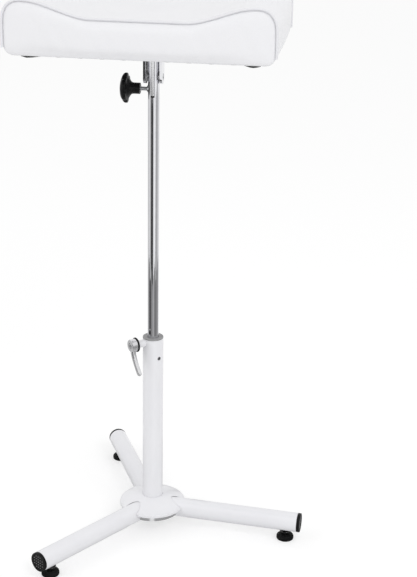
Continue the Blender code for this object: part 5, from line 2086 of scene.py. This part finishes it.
    def seam(self, inset: float, y: float) -> list[Vector]:
        """Makes an open path along an end panel's edge.

        Args:
            inset: How far it is drawn in.
            y: Its distance from the middle.

        Returns:
            Its points, from the lower left over the top.
        """
        low, side, top = self.half_outline(inset)
        half = [point for point in low + side[1:] + top[1:] if point.y >= self.welt_end]
        left = [Vector((-point.x, point.y)) for point in half[:-1]]
        path = resampled(left + half[::-1], self.seam_steps)
        return [self.origin + Vector((point.x, y, point.y)) for point in path]

    def build_piping(self, label: str, sign: float) -> None:
        """Makes the cord that is sewn into the seam round one end panel.

        Args:
            label: The panel's name.
            sign: Its side, -1 for the front.
        """
        path = self.seam(self.welt_inset, sign * (self.depth / 2.0 - self.welt_inset))
        mesh = PipingTree().grow(wired(path, len(path) - 1), self.maker.paint(WHITE_VINYL),
                                 radius=self.welt_radius, spacing=self.welt_spacing,
                                 unevenness=self.welt_unevenness)
        self.piece(f"{label}_piping", mesh, WHITE_VINYL, f"{label}_welt")

    def build_stitches(self, label: str, sign: float, surface: BVHTree) -> None:
        """Makes the row of stitches that lies in the ditch beside the piping.

        Args:
            label: The end panel's name.
            sign: Its side, -1 for the front.
            surface: The cushion's surface.
        """
        line = self.seam(self.seam_inset, sign * (self.depth / 2.0 - self.stitch_place))
        nearest = [surface.find_nearest(point) for point in line]
        facing = [hit[1] for hit in nearest]
        spots = [hit[0] + hit[1] * self.stitch_lift for hit in nearest]
        half = self.stitch_length / 2.0
        turns = [pi * step / self.stitch_steps for step in range(1, self.stitch_steps)]
        capsule = [(0.0, half, 0.0), *((self.stitch_radius * sin(turn) ** 0.6, half * cos(turn), 0.0)
                                       for turn in turns), (0.0, -half, 0.0)]
        unit = turned(capsule, Axis(Vector(), EAST, UP), steps=8)
        mesh = RowTree().grow(wired(spots, len(spots) - 1, facing), self.maker.paint(WHITE_VINYL), unit,
                              spacing=self.stitch_spacing, sway=self.stitch_sway, seed=SEED)
        self.piece(f"{label}_stitches", mesh, WHITE_VINYL)


@dataclass
class DustCover(Assembly):
    """The black cloth under the cushion, drawn out at its corners, and the staples that hold it."""

    body: Body = Body.REST
    columns: int = 84
    rows: int = 56
    thickness: float = 0.0007
    lift: float = 0.0004
    hem: float = 0.0003
    slack: float = 0.0004
    slack_rate: float = 224.0
    droop: float = 0.0012
    edge_draw: float = 0.02
    end_pull: float = 0.004
    side_pull: float = 0.0085
    pull_place: float = 0.945
    pull_width: float = 0.055
    staple_inset: float = 0.007
    staple_corner: float = 0.012
    staple_corner_steps: int = 6
    staple_spacing: float = 0.028
    staple_sway: float = 0.25
    wire_radius: float = 0.0004
    wire_spacing: float = 0.0012
    wire_path: tuple[Corner, ...] = (
        (-0.0050, 0.0, -0.0012), (-0.0050, 0.0, 0.0003), (-0.0047, 0.0, 0.0006), (0.0047, 0.0, 0.0006),
        (0.0050, 0.0, 0.0003), (0.0050, 0.0, -0.0012))

    def build(self) -> None:
        """Makes the cloth and its staples."""
        low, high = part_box("dust_cover")
        half = (high - low) / 2.0
        centre = on_axis(low.z)
        cloth = self.build_cloth(centre, half)
        self.build_staples(cloth, centre, half)

    def placed(self, u: float, v: float, half: Vector) -> Vector:
        """Places a point of the cloth. The powers keep each effect near the edges.

        Args:
            u: Its share of the half width, from -1 to 1.
            v: Its share of the half depth, from -1 to 1.
            half: Half the cloth's size.

        Returns:
            Its place from the middle of the cloth's lower face.
        """
        pull = exp(-((abs(u) - self.pull_place) / self.pull_width) ** 2)
        x = u * half.x * (1.0 - self.edge_draw * v ** 8) + self.end_pull * u * abs(u) ** 9
        y = v * (half.y * (1.0 - self.edge_draw * u ** 8) + self.side_pull * pull)
        waves = sin(x * self.slack_rate) + sin(y * self.slack_rate)
        slack = abs(self.slack * waves * max(u * u, v * v) ** 4)
        hem = self.hem * max(abs(u) ** 26, abs(v) ** 20)
        return Vector((x, y, self.lift - hem - self.droop * pull * abs(v) ** 24 - slack))

    def build_cloth(self, centre: Vector, half: Vector) -> Item:
        """Makes the cloth.

        Args:
            centre: The middle of its lower face.
            half: Half its size.

        Returns:
            Its piece.
        """
        line = self.columns + 1
        verts = [centre + self.placed(2.0 * column / self.columns - 1.0, 2.0 * row / self.rows - 1.0, half)
                 for row in range(self.rows + 1) for column in range(line)]
        starts = [row * line + column for row in range(self.rows) for column in range(self.columns)]
        mesh = bpy.data.meshes.new("cloth")
        mesh.from_pydata(verts, [], [(start, start + line, start + line + 1, start + 1) for start in starts])
        item = linked(bpy.data.objects.new("cloth", mesh))
        thick = item.modifiers.new("thick", "SOLIDIFY")
        thick.thickness = self.thickness
        thick.offset = 0.0
        mesh = tidied(settled(item), Matrix())
        piece = self.piece("black_underside", mesh, BLACK_CLOTH, "dust_cover")
        return piece

    def build_staples(self, cloth: Item, centre: Vector, half: Vector) -> None:
        """Makes the wire staples along the cloth's edge.

        Args:
            cloth: The cloth.
            centre: The middle of its lower face.
            half: Half its size.
        """
        below = 0.05
        inset = self.staple_inset + self.staple_corner
        outline: list[Flat] = []
        for index, (side_x, side_y) in enumerate(((1, 1), (-1, 1), (-1, -1), (1, -1))):
            corner = (side_x * (half.x - inset), side_y * (half.y - inset))
            outline += arc(corner, self.staple_corner, index * QUARTER, (index + 1) * QUARTER,
                           self.staple_corner_steps)
        surface = BVHTree.FromObject(cloth, bpy.context.evaluated_depsgraph_get())
        starts = [centre + Vector((x, y, -below)) for x, y in outline]
        spots = [surface.ray_cast(start, UP)[0] or start for start in starts]
        zinc = self.maker.paint(ZINC)
        wire = wired(self.wire_path, len(self.wire_path) - 1)
        unit = PipingTree().grow(wire, zinc, radius=self.wire_radius, spacing=self.wire_spacing,
                                 unevenness=0.0)
        base = wired(spots, len(spots), [-UP] * len(spots))
        mesh = RowTree().grow(base, zinc, unit, spacing=self.staple_spacing, sway=self.staple_sway, seed=SEED)
        self.piece("cover_staples", mesh, ZINC)


# Studio and camera


@dataclass(frozen=True)
class Lamp:
    """A soft round lamp."""

    name: str
    spot: Corner
    size: float
    power: float


@dataclass(frozen=True)
class Boards:
    """A ring of glowing grey boards that only bright metal mirrors: painted reflections that light nothing.

    A strip of floor runs from near to distance, where the boards stand. Each segment has its two ends in
    degrees from the camera's side, its height and its grey.
    """

    near: float
    distance: float
    segments: tuple[tuple[float, float, float, float], ...]


@dataclass
class Studio:
    """The pale floor, the soft lights, the white surroundings and the glowing boards that paint reflections
    on chrome.
    """

    ambient: float = 0.81
    floor_size: float = 14.0
    floor_drop: float = 0.0002
    floor_colour: float = 0.86
    floor_glow: float = 0.30
    seen_glow: float = 0.50
    lamps: tuple[Lamp, ...] = (
        Lamp("key", (1.5, -1.8, 2.3), size=1.8, power=19.0),
        Lamp("fill", (-1.9, -1.3, 1.7), size=1.6, power=7.0))
    lamp_aim: float = 0.4
    board_lift: float = 0.0004
    board_step: float = 5.0
    # Painted reflections: the first two rings paint the chrome's dark and light streaks, the third one the
    # fourth a narrow dark streak
    boards: tuple[Boards, ...] = (
        Boards(0.30, 0.75, (
            (-140.0, -105.0, 0.52, 0.65), (-105.0, -75.0, 0.54, 0.83), (-75.0, -50.0, 0.53, 0.54),
            (-50.0, -41.0, 0.50, 0.06), (-41.0, -31.0, 0.60, 0.03), (-31.0, -4.0, 0.50, 0.07),
            (-4.0, 17.0, 0.50, 0.90), (40.0, 64.0, 0.50, 0.46), (64.0, 92.0, 0.62, 0.50),
            (92.0, 130.0, 0.50, 0.77),
        )),
        Boards(0.60, 0.66, (
            (-110.0, -75.0, 0.19, 0.21), (-75.0, -50.0, 0.15, 0.05), (-50.0, -26.0, 0.17, 0.24),
            (-26.0, -5.0, 0.14, 0.34), (-5.0, 17.0, 0.16, 0.45), (17.0, 40.0, 0.18, 0.26),
            (40.0, 64.0, 0.15, 0.21), (64.0, 92.0, 0.17, 0.29), (92.0, 125.0, 0.19, 0.38),
        )),
        # Painted shade and highlight in reflections: a dark disc on the floor under the hub with a bright
        # wedge towards the camera
        Boards(0.05, 0.28, ((-180.0, -9.0, 0.0, 0.40), (-9.0, 5.0, 0.0, 0.92), (5.0, 180.0, 0.0, 0.40))),
        Boards(0.299, 0.30, ((160.0, 164.5, 0.675, 0.04),)),
    )

    def build(self) -> None:
        """Makes the floor, world, lamps and boards."""
        self.build_floor()
        self.build_world()
        for lamp in self.lamps:
            self.build_lamp(lamp)
        for number, boards in enumerate(self.boards, 1):
            self.build_boards(number, boards)

    @staticmethod
    def seen_white(graph: Graph) -> Socket:
        """Tells rays that see the set from rays that light it.

        Args:
            graph: The shader's graph.

        Returns:
            1 for rays of the camera, of mirrors and through glass, and 0 for the rest.
        """
        path = graph.add("ShaderNodeLightPath").outputs
        mirrored = graph.calc("MAXIMUM", path["Is Glossy Ray"], path["Is Transmission Ray"])
        return graph.calc("MAXIMUM", path["Is Camera Ray"], mirrored)

    def build_floor(self) -> None:
        """Makes the pale floor, which keeps the shadow and is clear from below."""
        half = self.floor_size / 2.0
        mesh = bpy.data.meshes.new("floor")
        corners = [(-half, -half), (half, -half), (half, half), (-half, half)]
        mesh.from_pydata([(x, y, -self.floor_drop) for x, y in corners], [], [(0, 1, 2, 3)])
        made, graph = blank("floor")
        seen = self.seen_white(graph)
        shade = graph.calc("SUBTRACT", self.floor_colour, graph.calc("MULTIPLY", seen, self.floor_glow))
        matt = graph.add("ShaderNodeBsdfDiffuse", {"Color": shade}).outputs[0]
        strength = graph.calc("MULTIPLY", seen, self.seen_glow)
        glow = graph.add("ShaderNodeEmission", {"Strength": strength}).outputs[0]
        lit = graph.add("ShaderNodeAddShader", {0: matt, 1: glow}).outputs[0]
        below = graph.add("ShaderNodeNewGeometry").outputs["Backfacing"]
        clear = graph.add("ShaderNodeBsdfTransparent").outputs[0]
        mixed = graph.add("ShaderNodeMixShader", {0: below, 1: lit, 2: clear}).outputs[0]
        graph.add("ShaderNodeOutputMaterial", {"Surface": mixed})
        mesh.materials.append(made)
        item = linked(bpy.data.objects.new("floor", mesh))

    def build_world(self) -> None:
        """Makes the surroundings: white in sight and in mirrors, softer as light."""
        world = bpy.data.worlds.new("studio")
        bpy.context.scene.world = world
        world.use_nodes = True
        graph = Graph(world.node_tree)
        rest = graph.calc("MULTIPLY", self.seen_white(graph), 1.0 - self.ambient)
        strength = graph.calc("ADD", rest, self.ambient)
        sky = graph.add("ShaderNodeBackground", {"Color": (1.0, 1.0, 1.0, 1.0), "Strength": strength})
        graph.add("ShaderNodeOutputWorld", {"Surface": sky.outputs[0]})

    def build_lamp(self, lamp: Lamp) -> None:
        """Makes a lamp that faces the footrest and that metal doesn't mirror.

        Args:
            lamp: The lamp.
        """
        light = bpy.data.lights.new(lamp.name, "AREA")
        light.shape = "DISK"
        light.size = lamp.size
        light.energy = lamp.power
        item = linked(bpy.data.objects.new(lamp.name, light))
        item.location = lamp.spot
        aim = on_axis(self.lamp_aim) - Vector(lamp.spot)
        item.rotation_euler = aim.to_track_quat("-Z", "Y").to_euler()
        item.visible_glossy = False

    def build_boards(self, number: int, boards: Boards) -> None:
        """Makes one ring of glowing boards that paint reflections, with a strip of floor before each.

        Args:
            number: Which ring, from 1.
            boards: The ring.
        """
        ahead = 3.0 * QUARTER + CAMERA_TURN
        centre = on_axis(self.board_lift)
        verts: list[Vector] = []
        faces: list[Face] = []
        greys: list[float] = []
        for start, end, height, grey in boards.segments:
            rows = 2 if height > 0.0 else 1
            steps = max(int((end - start) / self.board_step), 2)
            for step in range(steps + 1):
                first = len(verts)
                turn = ahead + radians(start + (end - start) * step / steps)
                for reach, rise in ((boards.near, 0.0), (boards.distance, 0.0), (boards.distance, height)):
                    verts.append(centre + Vector((reach * cos(turn), reach * sin(turn), rise)))
                if step < steps:
                    faces += [(low, low + 3, low + 4, low + 1) for low in range(first, first + rows)]
                    greys += [grey] * rows
        mesh = bpy.data.meshes.new("boards")
        mesh.from_pydata(verts, [], faces)
        mesh.attributes.new("grey", "FLOAT", "FACE").data.foreach_set("value", greys)
        made, graph = blank("studio_boards")
        grey = graph.add("ShaderNodeAttribute", attribute_name="grey").outputs["Fac"]
        # The grey glows as painted reflection; no lamp stands here and only mirrors see it
        glow = graph.add("ShaderNodeEmission", {"Strength": grey}).outputs[0]
        graph.add("ShaderNodeOutputMaterial", {"Surface": glow})
        mesh.materials.append(made)
        item = linked(bpy.data.objects.new(f"studio_boards_{number}", mesh))
        for way in ("camera", "diffuse", "transmission", "volume_scatter", "shadow"):
            setattr(item, f"visible_{way}", False)


@dataclass(frozen=True)
class PhotoCamera:
    """The camera that was fitted to the photograph, with focal length and height in pixels."""

    focal: float = 1310.6
    height: float = 577.0
    pitch: float = radians(21.07)
    pan: float = radians(-2.59)
    roll: float = radians(1.07)
    eye: Corner = (0.0, -1.7534, 1.0570)
    sensor: float = 36.0

    def build(self) -> None:
        """Makes the camera and gives it to the scene."""
        data = bpy.data.cameras.new("camera")
        data.sensor_width = self.sensor
        data.lens = self.focal * self.sensor / self.height
        right = Vector((cos(self.pan), sin(self.pan), 0.0))
        ahead = Vector((-sin(self.pan) * cos(self.pitch), cos(self.pan) * cos(self.pitch), -sin(self.pitch)))
        top = right.cross(ahead)
        across = right * cos(self.roll) + top * sin(self.roll)
        upward = top * cos(self.roll) - right * sin(self.roll)
        look = Matrix((across, upward, -ahead)).transposed().to_4x4()
        stand = Matrix.Translation(on_axis()) @ Matrix.Rotation(CAMERA_TURN, 4, "Z")
        item = linked(bpy.data.objects.new("camera", data))
        item.matrix_world = stand @ Matrix.Translation(self.eye) @ look
        bpy.context.scene.camera = item


def main() -> None:
    """Builds the studio and the camera, then the sub-assemblies in order."""
    logging.basicConfig(level=logging.INFO, format="%(message)s")
    bpy.context.scene.view_settings.view_transform = "Standard"
    PhotoCamera().build()
    Studio().build()
    maker = Maker()
    column = Column(maker)
    Tripod(maker).build()
    column.build()
    ClampLever(maker).build(column)
    for kind in (Pole, TiltKnob, TiltJoint, Upholstery, DustCover):
        kind(maker).build()


if __name__ == "__main__":
    main()
